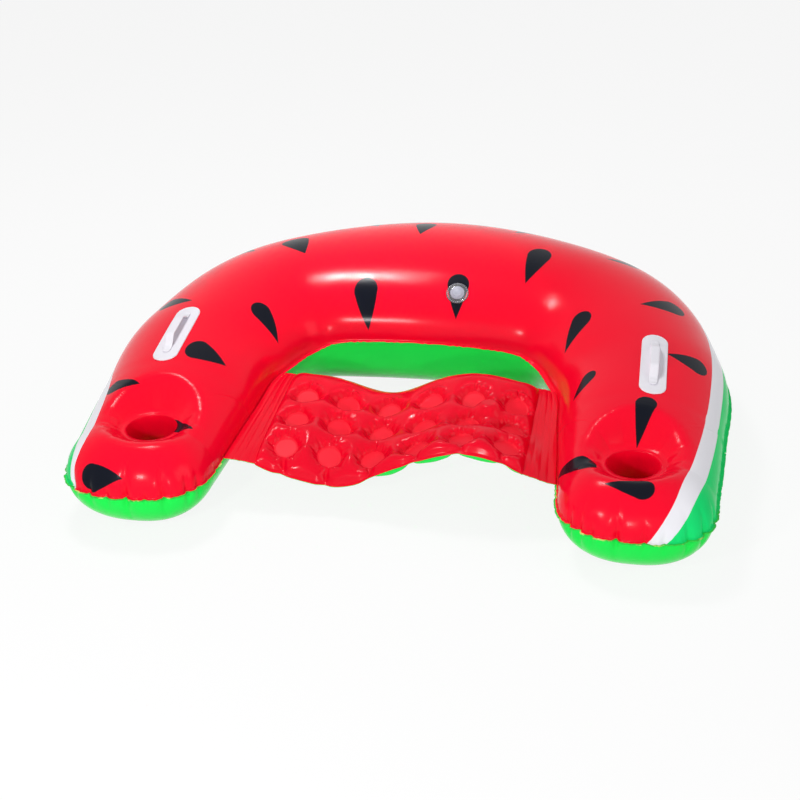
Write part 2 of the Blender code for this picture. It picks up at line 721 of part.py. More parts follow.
def hinged(disc, place, reach, level, radius, half):
    """Join a tether tab with a round knuckle to a turned disc, and put the origin on the knuckle."""
    bm = bmesh.new()
    bmesh.ops.create_cone(bm, cap_ends=True, segments=VALVE_STEPS // 2, radius1=half, radius2=half,
                          depth=TETHER_WIDTH, matrix=Matrix.Rotation(math.pi / 2, 4, "X"))
    knuckle = add_object(disc.name + "_knuckle_form", mesh_from(bm, disc.name + "_knuckle_form"), None,
                         "cutters")
    knuckle.location = (-reach, 0, 0)
    bm = bmesh.new()
    overlap = radius / 2
    length = reach - radius + overlap
    bmesh.ops.create_cube(bm, size=1, matrix=Matrix.Translation((length / 2 - reach, 0, 0))
                          @ Matrix.Diagonal((length, TETHER_WIDTH, 2 * half, 1)))
    tab = add_object(disc.name + "_tab_form", mesh_from(bm, disc.name + "_tab_form"), None, "cutters")
    for form in (knuckle, tab):
        form.hide_render = True
        form.display_type = "WIRE"
        boolean(disc, form, "UNION")
    # Bake the union so that the piece can take its place on the hinge
    bpy.context.view_layer.update()
    shape = disc.evaluated_get(bpy.context.evaluated_depsgraph_get())
    mesh = bpy.data.meshes.new_from_object(shape)
    mesh.transform(Matrix.Translation((reach, 0, 0)))
    mesh.set_sharp_from_angle(angle=math.radians(40))
    disc.modifiers.clear()
    disc.data = mesh
    for form in (knuckle, tab):
        bpy.data.objects.remove(form)
    disc.parent = place
    disc.location = (-reach, 0, level)


def main():
    for existing in list(bpy.data.objects):
        bpy.data.objects.remove(existing)

    red = material("printed_red_film", (0.80, 0.02, 0.06), 0.28)
    green = material("green_film", (0.05, 0.62, 0.12), 0.28)
    white = material("white_vinyl", (0.85, 0.85, 0.90), 0.35)
    clear = material("valve_vinyl", (0.62, 0.66, 0.70), 0.20)

    top = build_tube_film("ring_top_film", red, True)
    build_tube_film("ring_bottom_film", green, False)
    for label, side in (("left", -1), ("right", 1)):
        build_cup_wall("cup_wall_" + label, side, red)
        build_handle(label, side, white)
    build_seat_film("seat_top_film", red, True)
    bottom = build_seat_film("seat_bottom_film", green, False)

    share = 1 - (1 - patch_start_share) * VALVE_STATION / STATIONS
    points = section_points(share, True)
    before, on, after = points[VALVE_ROW:VALVE_ROW + 3]
    across = (after - before).normalized()
    beside = section_points(share + (1 - patch_start_share) / STATIONS, True)[VALVE_ROW + 1]
    normal = across.cross(on - beside)
    normal *= 1 if normal.z > 0 else -1
    normal.normalize()
    place = frame_empty("valve_frame", on + normal * GAP, across, normal)
    build_valve("valve", place, top, clear)

    level = Vector((SEAT_VALVE_X, bowed(SEAT_VALVE_X, SEAT_VALVE_Y), SEAT_VALVE_LEVEL - GAP))
    place = frame_empty("seat_valve_frame", level, Vector((1, 0, 0)), Vector((0, 0, -1)))
    build_valve("seat_valve", place, bottom, clear)


main()
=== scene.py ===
"""Looks of a U-shaped inflatable lounge ring printed as a slice of watermelon.

Two welded films make the tube and two more the tufted seat panel. Each film is a grid that is laid on its
blown-up shape and creased where it is gathered. UV maps of the film laid flat carry the print and the seeds,
and another marks the seat's weld discs.
"""
import json
import math
import random

import bmesh
import bpy
import numpy as np
from bpy.props import FloatProperty, FloatVectorProperty, IntProperty, PointerProperty
from bpy.types import Operator, Panel, PropertyGroup
from mathutils import Matrix, Vector


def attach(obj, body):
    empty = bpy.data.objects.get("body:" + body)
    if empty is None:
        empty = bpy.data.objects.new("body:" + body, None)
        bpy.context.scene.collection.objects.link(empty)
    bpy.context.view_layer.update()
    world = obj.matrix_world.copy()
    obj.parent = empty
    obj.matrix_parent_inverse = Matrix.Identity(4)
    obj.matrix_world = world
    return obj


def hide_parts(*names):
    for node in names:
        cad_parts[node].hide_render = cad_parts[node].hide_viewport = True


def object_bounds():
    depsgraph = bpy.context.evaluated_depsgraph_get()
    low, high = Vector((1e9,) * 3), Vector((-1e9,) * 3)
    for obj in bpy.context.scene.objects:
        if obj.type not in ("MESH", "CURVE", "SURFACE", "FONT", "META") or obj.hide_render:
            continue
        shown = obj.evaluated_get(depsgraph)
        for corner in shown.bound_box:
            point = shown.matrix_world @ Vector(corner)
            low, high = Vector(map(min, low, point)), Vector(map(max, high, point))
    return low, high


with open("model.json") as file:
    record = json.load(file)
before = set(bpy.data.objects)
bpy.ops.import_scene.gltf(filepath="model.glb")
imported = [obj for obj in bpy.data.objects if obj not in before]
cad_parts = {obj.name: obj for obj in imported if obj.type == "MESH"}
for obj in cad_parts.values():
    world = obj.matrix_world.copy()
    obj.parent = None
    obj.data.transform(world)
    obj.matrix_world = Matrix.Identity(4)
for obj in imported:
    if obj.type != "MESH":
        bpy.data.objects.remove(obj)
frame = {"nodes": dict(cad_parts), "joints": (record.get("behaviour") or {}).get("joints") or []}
CAD_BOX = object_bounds()
JOINTS = {joint["name"]: joint for joint in frame["joints"]}

bl_info = {
    "name": "Watermelon lounge ring",
    "version": (1, 0, 0),
    "blender": (4, 5, 0),
    "location": "3D View > Sidebar > Lounge ring",
    "description": "Builds the looks of an inflatable lounge ring on its packed frame",
    "category": "Object",
}

# Films and welds
FILM = 0.0004                     # thickness of a film
GAP = 0.0003                      # clearance between pieces that touch
EDGE_MARGIN = 0.00001             # keeps a share of a width off its very edge
MERGE = 0.0002                    # joins the grids of a film
HOLE_RADIUS = 0.0112              # hole in a film round a valve
HOLE_SIDES = 24
PATH_SAMPLES = 400
TURN_SAMPLES = 40                 # stretch over which the tube's direction is taken
GAUSS_POINTS, GAUSS_WEIGHTS = np.polynomial.legendre.leggauss(12)

# Shares of the way from a tip (0) to the middle of the back (1)
section_shares = np.array((0.0, 0.25, 0.6, 1.0, 1.4))
patch_share = 0.175               # the rings round a cup well take over from the loft here
arm_spread_shares = (1.0, 0.998, 0.980)
corner_shares = (0.36, 0.78)      # between these the inner corner is softened
corner_fade_shares = (0.12, 0.10)
full_shares = (0.55, 0.85)        # over these the back gets fuller low down inside

# Grids of the tube films
CELLS_ACROSS = 0.42               # length across the back that sets the number of cells
WELL_REACH = 0.075                # the same along a ray from a cup well
MORE_RINGS = 10                   # extra rings for the steep part beside the lip
MARGIN_STEPS = 2                  # cells across a weld margin
OFF_SEAM = 99.0                   # place along the seam of a point that is on none
margin_look_share = 0.6           # a face this far out on a margin takes the margin's own look

# Creases that run from a tip's seam: degrees round the tip from its inner side, depth, length and width
RIGHT_TIP_CREASES = ((38, 0.0056, 0.047, 0.0037), (47, 0.0078, 0.073, 0.0044), (57, 0.0054, 0.042, 0.0037),
                     (76, 0.0092, 0.086, 0.0048), (98, 0.0056, 0.047, 0.0040), (113, 0.0048, 0.036, 0.0037),
                     (131, 0.0060, 0.060, 0.0042), (146, 0.0066, 0.065, 0.0042), (163, 0.0050, 0.047, 0.0037))
LEFT_TIP_CREASES = ((27, 0.0048, 0.047, 0.0037), (37, 0.0060, 0.057, 0.0040), (55, 0.0086, 0.078, 0.0046),
                    (70, 0.0036, 0.029, 0.0035), (86, 0.0094, 0.086, 0.0048), (103, 0.0048, 0.036, 0.0037),
                    (118, 0.0056, 0.047, 0.0040), (136, 0.0050, 0.047, 0.0037), (158, 0.0050, 0.047, 0.0037))
# Smaller ones drawn between them, and along the outer seam: ranges of the step, depth, length and width
SMALL_CREASES = ((0.007, 0.015), (0.0008, 0.0026), (0.008, 0.022), (0.0020, 0.0032))
OUTER_CREASES = ((0.016, 0.034), (0.0004, 0.0013), (0.016, 0.045), (0.0024, 0.0042))
CREASE_OVERRUN = (0.05, 0.02)     # how far each kind goes on past its stretch
# Folds that run out from a cup well: their number, and ranges of turn, depth and width
WELL_FOLDS = 26
WELL_FOLD_RANGES = ((-0.35, 0.35), (0.0003, 0.0011), (0.05, 0.10))

# Printed seeds: middle of the round end and the pointed end on the film laid flat, and width factor
SEEDS = (((-0.0395, 0.2972), (-0.0411, 0.2396), 1.00), ((-0.2774, 0.2236), (-0.2442, 0.1686), 1.20),
         ((-0.1127, 0.0840), (-0.0955, 0.0110), 0.82), ((0.0498, 0.1020), (0.0499, 0.0363), 0.87),
         ((-0.2799, 0.0004), (-0.2274, -0.0355), 0.82), ((-0.3516, -0.1468), (-0.2957, -0.1581), 1.30),
         ((0.1853, 0.1968), (0.1671, 0.1179), 0.78), ((0.2705, 0.0300), (0.2375, -0.0262), 0.80),
         ((0.4303, 0.0910), (0.3710, 0.0673), 1.00), ((0.4740, -0.0762), (0.4197, -0.0738), 1.12),
         ((0.3503, 0.2491), (0.3033, 0.2335), 1.00), ((0.2923, -0.1207), (0.2654, -0.1603), 0.80),
         ((0.3920, -0.2130), (0.3820, -0.2620), 1.00), ((0.2985, -0.3290), (0.2250, -0.3010), 0.64),
         ((0.3940, -0.4018), (0.3375, -0.3950), 0.96), ((-0.4440, -0.4500), (-0.3820, -0.4510), 1.10),
         ((-0.3520, -0.2990), (-0.3020, -0.3200), 1.00), ((-0.4699, -0.2385), (-0.4207, -0.2405), 1.00),
         ((-0.4620, 0.0120), (-0.4080, -0.0010), 1.00), ((0.1580, 0.3500), (0.1300, 0.2980), 1.00),
         ((-0.1550, 0.3500), (-0.1330, 0.2970), 1.00), ((-0.3950, 0.2350), (-0.3500, 0.1970), 1.00))
seed_radius_share = 0.335         # radius of the round end in shares of the seed's length

# Inner edge of the white rind band on the film laid flat, and the band's width on the left and the right
PRINT_MIDDLE = (-0.040, -0.030)
BAND_EDGE = ((-0.300, -0.620), (-0.440, -0.560), (-0.500, -0.470), (-0.487, -0.434), (-0.476, -0.410),
             (-0.467, -0.387), (-0.465, -0.352), (-0.472, -0.307), (-0.479, -0.265), (-0.490, -0.220),
             (-0.513, -0.165), (-0.530, -0.115), (-0.532, -0.040), (-0.515, 0.060), (-0.465, 0.185),
             (-0.385, 0.310), (-0.240, 0.405), (-0.040, 0.440), (0.180, 0.420), (0.330, 0.345),
             (0.440, 0.240), (0.497, 0.115), (0.504, -0.005), (0.503, -0.071), (0.498, -0.155),
             (0.485, -0.241), (0.468, -0.321), (0.455, -0.369), (0.441, -0.427), (0.4185, -0.477),
             (0.380, -0.533), (0.250, -0.600))
BAND_WIDTHS = (0.030, 0.031)
BAND_SIDE = 0.4                   # offset to the side where those widths hold
PRINT_SOFTNESS = 0.0006           # width of an edge between two inks
FILM_SPECULAR = 0.10

# Camera that took the photograph, as a place and three directions
CAMERA_PLACE = (0.3847, -2.0585, 1.1930)
CAMERA_FORWARD = (-0.1635, 0.8689, -0.4671)
CAMERA_RIGHT = (0.9843, 0.1757, -0.0177)
CAMERA_LENS_MM = 60.6
CAMERA_SENSOR_MM = 36.0
camera_shift_shares = (-0.0244, -0.0286)
CAMERA_RANGE = 60

# Lamps: name, place, aim, size, watts and spread in degrees
LAMPS = (("overhead_softbox", (-0.62, 0.27, 2.20), (-0.05, 0.10, 0.2), (0.55, 0.55), 15, 180),
         ("overhead_spot", (-0.66, 0.26, 2.15), (-0.10, 0.12, 0.2), (0.28, 0.28), 7, 180),
         ("overhead_beam", (-0.66, 0.26, 2.15), (-0.108, 0.116, 0.221), (0.10, 0.10), 0.19, 20),
         ("left_tip_light", (-0.50, -1.60, 0.80), (-0.35, -0.43, 0.1), (0.14, 0.12), 7.5, 180),
         ("right_tip_light", (0.28, -1.85, 0.50), (0.38, -0.43, 0.1), (0.13, 0.12), 4.2, 180),
         ("front_fill", (0.2, -3.4, 1.0), (0, 0, 0.1), (4.0, 1.8), 13, 180),
         ("right_fill", (2.6, -1.2, 1.3), (0, 0, 0.1), (1.6, 1.6), 17, 180))
ROOM_LIGHT = 0.29                 # strength of the white room as a light
FLOOR_WHITE = 0.88                # share of plain white in the floor where it is seen, and its grey
FLOOR_HALF_SIZE = 14


# Settings

def length(name, about, default):
    """A length, or a row of lengths."""
    if isinstance(default, tuple):
        return FloatVectorProperty(name=name, description=about, unit="LENGTH", size=len(default),
                                   default=default)
    return FloatProperty(name=name, description=about, unit="LENGTH", default=default)


def number(name, about, default):
    make = IntProperty if isinstance(default, int) else FloatProperty
    return make(name=name, description=about, default=default)


def colour(name, about, default):
    return FloatVectorProperty(name=name, description=about, subtype="COLOR", size=3, default=default)


class TubeSettings(PropertyGroup):
    """Sizes of the tube"""
    depth: length("Depth", "Tips to the back", CAD_BOX[1].y - CAD_BOX[0].y)
    arm_spread: length("Arm spread", "Middle of the ring to the middle of an arm", 0.387)
    shoulder: length("Shoulder", "Place where an arm has turned into the back", (0.280, 0.1835))
    arm_end: length("Arm end", "Where the arms start to turn, before the origin", 0.014)
    widths: length("Half widths", "From tip to back", (0.118, 0.135, 0.1605, 0.195))
    heights: length("Half heights", "From tip to back", (0.0825, 0.0995, 0.118, 0.1315))
    tip_length: number("Tip length", "In shares of the tip's half width", 0.9)
    tip_squareness: number("Tip squareness", "2 is an ellipse", 2.5)
    outer_weld: length("Outer weld", "Flat margin outside the outer seam", 0.005)
    inner_weld: length("Inner weld", "Flat margin inside the inner seam", 0.008)
    settle: length("Settle", "How far the ground flattens the tube", 0.0045)
    fullness: number("Fullness", "How square the back is low down inside", 0.40)
    corner_reach: length("Corner reach", "How far the inner corners are softened", 0.040)
    cell: length("Cell", "Size of a grid cell", 0.0050)
    fine_cell: length("Fine cell", "The same along a tip's seam", 0.0026)
    crease_seed: number("Crease seed", "Picks another set of small creases", 7)


class WellSettings(PropertyGroup):
    """Sizes of the cup wells"""
    radius: length("Radius", "Inside of the wall", 0.040)
    lip_height: length("Lip height", "Where the upper film meets the wall", 0.130)
    floor_height: length("Floor height", "Underside of the floor", 0.058)
    weld: length("Weld", "Flange at each end of the wall", 0.007)
    flat_margin: length("Flat margin", "Flat film beyond the flange", 0.002)
    offset: length("Offset", "Axis from the tip's centre: inwards and back", (0.008, 0.0265))
    dip_reach: length("Dip reach", "Of the upper and the lower film", (0.098, 0.088))


class SeatSettings(PropertyGroup):
    """Sizes of the seat panel"""
    rear: length("Rear", "Rear edge on the middle line", -0.056)
    front: length("Front", "Front edge on the middle line", -0.309)
    bow: length("Bow", "How much further back it lies at the arms", 0.004)
    margin: length("Margin", "Flat weld at the front and the rear", 0.005)
    clearance: length("Clearance", "From the tube to the side margin", 0.002)
    lift: length("Lift", "Side margin over the tube's weld", 0.0006)
    swell: length("Swell", "Crown over the middle plane", 0.0200)
    sag: length("Sag", "Depth of the fold", 0.020)
    pitch: length("Pitch", "Between weld discs", 0.071)
    first_row: length("First row", "Rear edge to the first discs", 0.074)
    disc_radius: length("Disc radius", "Radius of a weld disc", 0.0190)
    columns: number("Columns", "Weld discs across", 6)
    rows: number("Rows", "Weld discs from rear to front", 3)
    disc_shift: length("Disc shift", "Discs off the middle line", 0.0055)
    lean: length("Lean", "How far the front weld is turned up or down", 0.009)
    pillow_blend: length("Pillow blend", "Rounds the pillows between the discs", 0.006)
    pucker: length("Pucker", "Depth of a crease beside a disc", 0.0050)
    pucker_seed: number("Pucker seed", "Picks another set of creases", 11)
    cell: length("Cell", "Size of a grid cell", 0.0017)


class HandleSettings(PropertyGroup):
    """Sizes of the grab handles"""
    length: length("Length", "Of the patch", 0.161)
    width: length("Width", "Of the patch", 0.0425)
    thickness: length("Thickness", "Of the patch", 0.0018)
    outset: length("Outset", "Outwards from the arm's crown", 0.012)
    place: length("Place", "Middle of the handle along the arm", -0.108)
    strap_length: length("Strap length", "Foot to foot", 0.121)
    strap_width: length("Strap width", "Across the arm", 0.014)
    strap_thickness: length("Strap thickness", "Of the strap", 0.0025)
    foot: length("Foot", "Length of each foot", 0.013)
    rise_length: length("Rise length", "Over which the strap climbs", 0.024)
    finger_height: length("Finger height", "Room under the strap", 0.013)


class ValveSettings(PropertyGroup):
    """Sizes of the air valves"""
    flange: length("Flange", "Radius of the flange", 0.020)
    flange_thickness: length("Flange thickness", "Of the flange", 0.0012)
    collar: length("Collar", "Radius of the neck's collar", 0.0125)
    neck: length("Neck", "Radius of the neck", 0.0075)
    bore: length("Bore", "Radius of the bore", 0.0050)
    stop: length("Stop", "Radius of the inner stop", 0.0092)
    lip: length("Lip", "Thickness of the stop", 0.0015)
    depth: length("Depth", "Of the neck under the film", 0.020)
    crown: length("Crown", "Top of the collar over the film", 0.0030)
    cap: length("Cap", "Thickness of the stopper's cap", 0.0016)
    cap_radius: length("Cap radius", "Of the stopper", 0.0085)
    hinge: length("Hinge", "Axis of the neck to the stopper's hinge", 0.0115)


class LookSettings(PropertyGroup):
    """Colours and finish"""
    red: colour("Red", "Fruit flesh print", (0.93, 0.0014, 0.0240))
    rind: colour("Rind", "White band", (0.86, 0.85, 0.90))
    peel: colour("Peel", "Green edge of the print", (0.012, 0.74, 0.180))
    green: colour("Green", "Lower film", (0.012, 0.80, 0.082))
    seed: colour("Seed", "Seed print", (0.0030, 0.0045, 0.0110))
    vinyl: colour("Vinyl", "Handles", (0.84, 0.82, 0.88))
    valve: colour("Valve", "Cloudy valve vinyl", (0.46, 0.48, 0.58))
    clear_vinyl: colour("Clear vinyl", "Flange of a valve", (0.86, 0.88, 0.94))
    seat_red: colour("Seat red", "Upper film of the seat", (0.80, 0.0014, 0.0200))
    film_roughness: number("Film roughness", "Of the printed film", 0.18)


# Numbers along curves

def smooth_curve(knots, values, at):
    """Smooth curve through rows of values at knots, with slopes from the neighbouring values."""
    knots = np.asarray(knots, float)
    values = np.asarray(values, float).reshape(len(knots), -1)
    at = np.atleast_1d(at)
    low = np.maximum(np.arange(len(knots)) - 1, 0)
    high = np.minimum(np.arange(len(knots)) + 1, len(knots) - 1)
    slopes = (values[high] - values[low]) / (knots[high] - knots[low])[:, None]
    i = np.clip(np.searchsorted(knots, at, side="left") - 1, 0, len(knots) - 2)
    span = (knots[i + 1] - knots[i])[:, None]
    t = ((at - knots[i])[:, None]) / span
    t2, t3 = t * t, t * t * t
    return (values[i] * (2 * t3 - 3 * t2 + 1) + slopes[i] * span * (t3 - 2 * t2 + t)
            + values[i + 1] * (3 * t2 - 2 * t3) + slopes[i + 1] * span * (t3 - t2))


def run_along(points):
    """Distance from the first point of a line to each of its points."""
    return np.concatenate(([0], np.cumsum(np.linalg.norm(np.diff(points, axis=0), axis=1))))


def ease(value):
    value = np.clip(value, 0, 1)
    return value * value * (3 - 2 * value)


def arc_length(angle, wide, high):
    """Signed length of an ellipse from its crown to an angle, with the half width and half height."""
    t = angle[..., None] / 2 * (GAUSS_POINTS + 1)
    speed = np.sqrt((wide[..., None] * np.cos(t)) ** 2 + (high[..., None] * np.sin(t)) ** 2)
    return (speed * GAUSS_WEIGHTS).sum(-1) * angle / 2


class Tube:
    """Centreline, sections and seams of one arm and half the back, mirrored by a side of 1 or -1."""

    def __init__(self, sizes, well):
        self.sizes = sizes
        self.well = well
        self.shares = np.linspace(0, 1, PATH_SAMPLES + 1)
        sections = [smooth_curve(section_shares, (*values, values[2]), self.shares)[:, 0]
                    for values in (tuple(sizes.widths), tuple(sizes.heights))]
        self.width, self.height = sections
        self.seam = self.height + FILM + GAP / 2 - sizes.settle
        self.line = self.trace()
        ahead = np.arange(PATH_SAMPLES + 1) + 1 + TURN_SAMPLES
        fold = ahead > PATH_SAMPLES
        points = self.line[np.where(fold, 2 * PATH_SAMPLES - ahead, ahead)]
        points[fold, 0] *= -1
        along = points - self.line[np.maximum(np.arange(PATH_SAMPLES + 1) - TURN_SAMPLES, 0)]
        along[-1] = (-1, 0)
        along /= np.linalg.norm(along, axis=1)[:, None]
        self.out = np.stack((along[:, 1], -along[:, 0]), 1)
        self.inner_reach = self.width.copy()
        self.inner_out = self.out.copy()
        self.round_inner_corner()
        self.well_centre = self.line[0] + np.array((-well.offset[0], well.offset[1]))
        self.well_flat = well.radius + well.weld + well.flat_margin

    def trace(self):
        """Even samples of the centreline from the tip to the middle of the back."""
        sizes = self.sizes
        tip = sizes.depth / 2 - sizes.outer_weld - sizes.widths[0] * sizes.tip_length
        back = sizes.depth / 2 - sizes.outer_weld - sizes.widths[3]
        points = [(sizes.arm_spread * share, -tip * (2 - i) / 2 - sizes.arm_end * i / 2)
                  for i, share in enumerate(arm_spread_shares)]
        points += [tuple(sizes.shoulder), (0, back), (-sizes.shoulder[0], sizes.shoulder[1])]
        points = np.array(points)
        knots = np.concatenate(([0], np.cumsum(np.sqrt(np.linalg.norm(np.diff(points, axis=0), axis=1)))))
        fine = smooth_curve(knots, points, np.linspace(0, knots[-2], PATH_SAMPLES + 1))
        run = run_along(fine)
        even = np.linspace(0, run[-1], PATH_SAMPLES + 1)
        self.length = run[-1]
        return np.stack([np.interp(even, run, fine[:, k]) for k in (0, 1)], 1)

    def round_inner_corner(self):
        """Soften the inner seam where an arm meets the back."""
        inner = self.line - self.out * self.width[:, None]
        whole = np.concatenate((inner, inner[-2::-1] * (-1, 1)))
        run = run_along(whole)
        near = np.exp(-((run[:, None] - run[None, :]) / self.sizes.corner_reach) ** 2)
        near *= np.gradient(run)[None, :]
        soft = (near @ whole) / near.sum(1)[:, None]
        first, last = corner_shares
        fade_in, fade_out = corner_fade_shares
        weight = ease((self.shares - first) / fade_in) * (1 - ease((self.shares - last) / fade_out))
        soft = inner + (soft[:len(inner)] - inner) * weight[:, None]
        reach = self.line - soft
        self.inner_reach = np.linalg.norm(reach, axis=1)
        self.inner_out = reach / self.inner_reach[:, None]

    def at(self, table, share):
        """A table's value at shares along the centreline."""
        if table.ndim == 1:
            return np.interp(share, self.shares, table)
        return np.stack([np.interp(share, self.shares, table[:, k]) for k in (0, 1)], -1)

    def section_point(self, share, angle, upper):
        """Surface point, flat print place and distance from the seam at an angle from the crown."""
        centre, out = self.at(self.line, share), self.at(self.out, share)
        wide, high = self.at(self.width, share), self.at(self.height, share)
        inside = angle < 0
        out = np.where(inside[:, None], self.at(self.inner_out, share), out)
        wide = np.where(inside, self.at(self.inner_reach, share), wide)
        across, swell = np.sin(angle), np.cos(angle)
        if not upper:
            first, last = full_shares
            power = 2 + self.sizes.fullness * ease((share - first) / (last - first)) * inside
            scale = (np.abs(across) ** power + np.abs(swell) ** power) ** (-1 / power)
            across, swell = across * scale, swell * scale
        plan = centre + out * (wide * across)[:, None]
        flat = centre + out * arc_length(angle, wide, high)[:, None]
        level = self.level(share, swell, upper)
        whole = arc_length(np.full_like(angle, math.pi / 2), wide, high)
        return np.column_stack((plan, level)), flat, whole - arc_length(np.abs(angle), wide, high)

    def level(self, share, swell, upper):
        """Height of the film at a share of the half height over or under the seam."""
        seam, high = self.at(self.seam, share), self.at(self.height, share)
        if upper:
            return seam + FILM + GAP / 2 + high * swell
        level = seam - FILM - GAP / 2 - high * swell
        # The ground flattens the lowest part, with a soft turn into the flat
        soft = self.sizes.settle
        return np.where(level < soft, np.where(level < -soft, 0, (level + soft) ** 2 / (4 * soft)), level)

    def tip_reach(self, ahead):
        """Reach of a tip's outline in shares of its half width, by the sine of the angle from its sides."""
        power = self.sizes.tip_squareness
        beside = np.sqrt(np.maximum(1 - ahead * ahead, 0))
        return (beside ** power + (ahead / self.sizes.tip_length) ** power) ** (-1 / power)

    def nearest(self, plan):
        """Share of the nearest centreline sample, offset in shares of the width, and direction to it."""
        gaps = np.linalg.norm(plan[:, None, :] - self.line[None, :, :], axis=2)
        i = gaps.argmin(1)
        gap = np.maximum(gaps[np.arange(len(plan)), i], EDGE_MARGIN)
        away = (plan - self.line[i]) / gap[:, None]
        wide = self.width[i].copy()
        beyond = plan[:, 1] < self.line[0, 1]
        wide[beyond] *= self.tip_reach(np.clip(-away[beyond, 1], 0, 1))
        return self.shares[i], np.minimum(gap / wide, 1), away, wide

    def plan_point(self, plan, upper, dipped=True):
        """Surface point, flat print place and distance from the seam over a plan point of the right arm."""
        share, offset, away, wide = self.nearest(plan)
        angle = np.arcsin(offset)
        high = self.at(self.height, share)
        flat = self.at(self.line, share) + away * arc_length(angle, wide, high)[:, None]
        whole = arc_length(np.full_like(angle, math.pi / 2), wide, high)
        level = self.level(share, np.sqrt(1 - offset ** 2), upper)
        if dipped:
            distance = np.linalg.norm(plan - self.well_centre, axis=1)
            reach = self.well.dip_reach[0 if upper else 1]
            rest = self.well.lip_height if upper else self.well.floor_height
            gone = np.clip((distance - self.well_flat) / (reach - self.well_flat), 0, 1)
            # Steep beside the lip, and soft where it joins the round of the tube
            soft = gone ** 3 * (10 - 15 * gone + 6 * gone ** 2)
            level = rest + (level - rest) * (0.4 * soft + 0.6 * (1 - (1 - gone) ** 3))
        return np.column_stack((plan, level)), flat, whole - arc_length(angle, wide, high)

    def tip_outline(self):
        """Seam points round a tip from the loft's inner side to its outer side, and their normals."""
        cell = self.sizes.fine_cell
        side_steps = round(patch_share * self.length / cell / 1.5)
        runs = []
        for side in (-1, 1):
            share = patch_share * (1 - np.arange(1, side_steps + 1) / side_steps)
            out = self.at(self.out, share) * side
            runs.append((self.at(self.line, share) + out * self.at(self.width, share)[:, None], out))
        front_steps = round(math.pi * self.width[0] / cell)
        angle = math.pi * np.arange(1, front_steps) / front_steps
        out = self.out[0]
        forward = np.array((out[1], -out[0]))
        away = forward * np.sin(angle)[:, None] - out * np.cos(angle)[:, None]
        reach = self.width[0] * self.tip_reach(np.sin(angle))
        front = self.line[0] + away * reach[:, None]
        points = np.concatenate((runs[0][0], front, runs[1][0][::-1]))
        normals = np.concatenate((runs[0][1], away, runs[1][1][::-1]))
        run = run_along(points)
        place = run - np.interp(90, np.degrees(angle), run[side_steps:side_steps + len(angle)])
        self.tip_degrees, self.tip_places = np.degrees(angle), place[side_steps:side_steps + len(angle)]
        return points, normals, place

    def seam_run(self, share, side):
        """Distance along the inner (-1) or outer (1) seam from the loft's first section."""
        points = self.line + self.out * side * self.width[:, None]
        run = run_along(points)
        return self.at(run, share) - self.at(run, np.array([patch_share]))


# Building helpers

def make_grid(columns, rows):
    """A flat grid, and the column and row number of each of its vertices."""
    bm = bmesh.new()
    bmesh.ops.create_grid(bm, x_segments=columns, y_segments=rows, size=0.5)
    places = np.array([(v.co.x + 0.5, v.co.y + 0.5) for v in bm.verts])
    return bm, np.rint(places * (columns, rows)).astype(int)


def move_to(bm, points):
    for vertex, point in zip(bm.verts, points):
        vertex.co = point


def finished(bm, name, materials, body):
    """Put a bmesh into a new piece that rides on a body."""
    mesh = bpy.data.meshes.new(name)
    bm.to_mesh(mesh)
    bm.free()
    mesh.shade_smooth()
    made = bpy.data.objects.new(name, mesh)
    bpy.context.scene.collection.objects.link(made)
    for look in materials:
        mesh.materials.append(look)
    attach(made, body)
    return made


def thicken(made):
    """Give an open film its thickness, behind the surface."""
    wall = made.modifiers.new("Thickness", "SOLIDIFY")
    wall.thickness = FILM
    wall.offset = -1.0
    wall.use_even_offset = False


def turn_outwards(bm, upper):
    """Face an open film away from the air behind it."""
    bmesh.ops.recalc_face_normals(bm, faces=bm.faces)
    widest = max(bm.faces, key=lambda face: abs(face.normal.z) * face.calc_area())
    if (widest.normal.z > 0) != upper:
        bmesh.ops.reverse_faces(bm, faces=bm.faces)


def lathe(profile, steps):
    """A closed turned piece about Z from radius and height pairs."""
    bm = bmesh.new()
    verts = [bm.verts.new((radius, 0, height)) for radius, height in profile]
    edges = [bm.edges.new(pair) for pair in zip(verts, verts[1:] + verts[:1])]
    bmesh.ops.spin(bm, geom=verts + edges, cent=(0, 0, 0), axis=(0, 0, 1), angle=2 * math.pi, steps=steps,
                   use_merge=True)
    bmesh.ops.remove_doubles(bm, verts=bm.verts, dist=EDGE_MARGIN)
    bmesh.ops.recalc_face_normals(bm, faces=bm.faces)
    return bm


# Materials

def new_material(name):
    look = bpy.data.materials.new(name)
    look.use_nodes = True
    return look, look.node_tree, look.node_tree.nodes["Principled BSDF"]


def plug(tree, node, values):
    """Put numbers or links on a node's inputs."""
    for key, value in values.items():
        if isinstance(value, bpy.types.NodeSocket):
            tree.links.new(value, node.inputs[key])
        else:
            node.inputs[key].default_value = value
    return node


def add_node(tree, kind, values=None, **settings):
    """A node with its settings, and with numbers or links on its inputs."""
    made = tree.nodes.new(kind)
    for key, value in settings.items():
        setattr(made, key, value)
    return plug(tree, made, values or {})


def math_node(tree, operation, *values):
    return add_node(tree, "ShaderNodeMath", dict(enumerate(values)), operation=operation).outputs[0]


def radius_node(tree, x, y):
    return math_node(tree, "SQRT", math_node(tree, "ADD", math_node(tree, "MULTIPLY", x, x),
                                             math_node(tree, "MULTIPLY", y, y)))


def mix_colour(tree, factor, first, second):
    """A colour mix; colours are three numbers or links."""
    first, second = (value if isinstance(value, bpy.types.NodeSocket) else (*value, 1)
                     for value in (first, second))
    return add_node(tree, "ShaderNodeMix", {"Factor": factor, "A": first, "B": second},
                    data_type="RGBA").outputs["Result"]


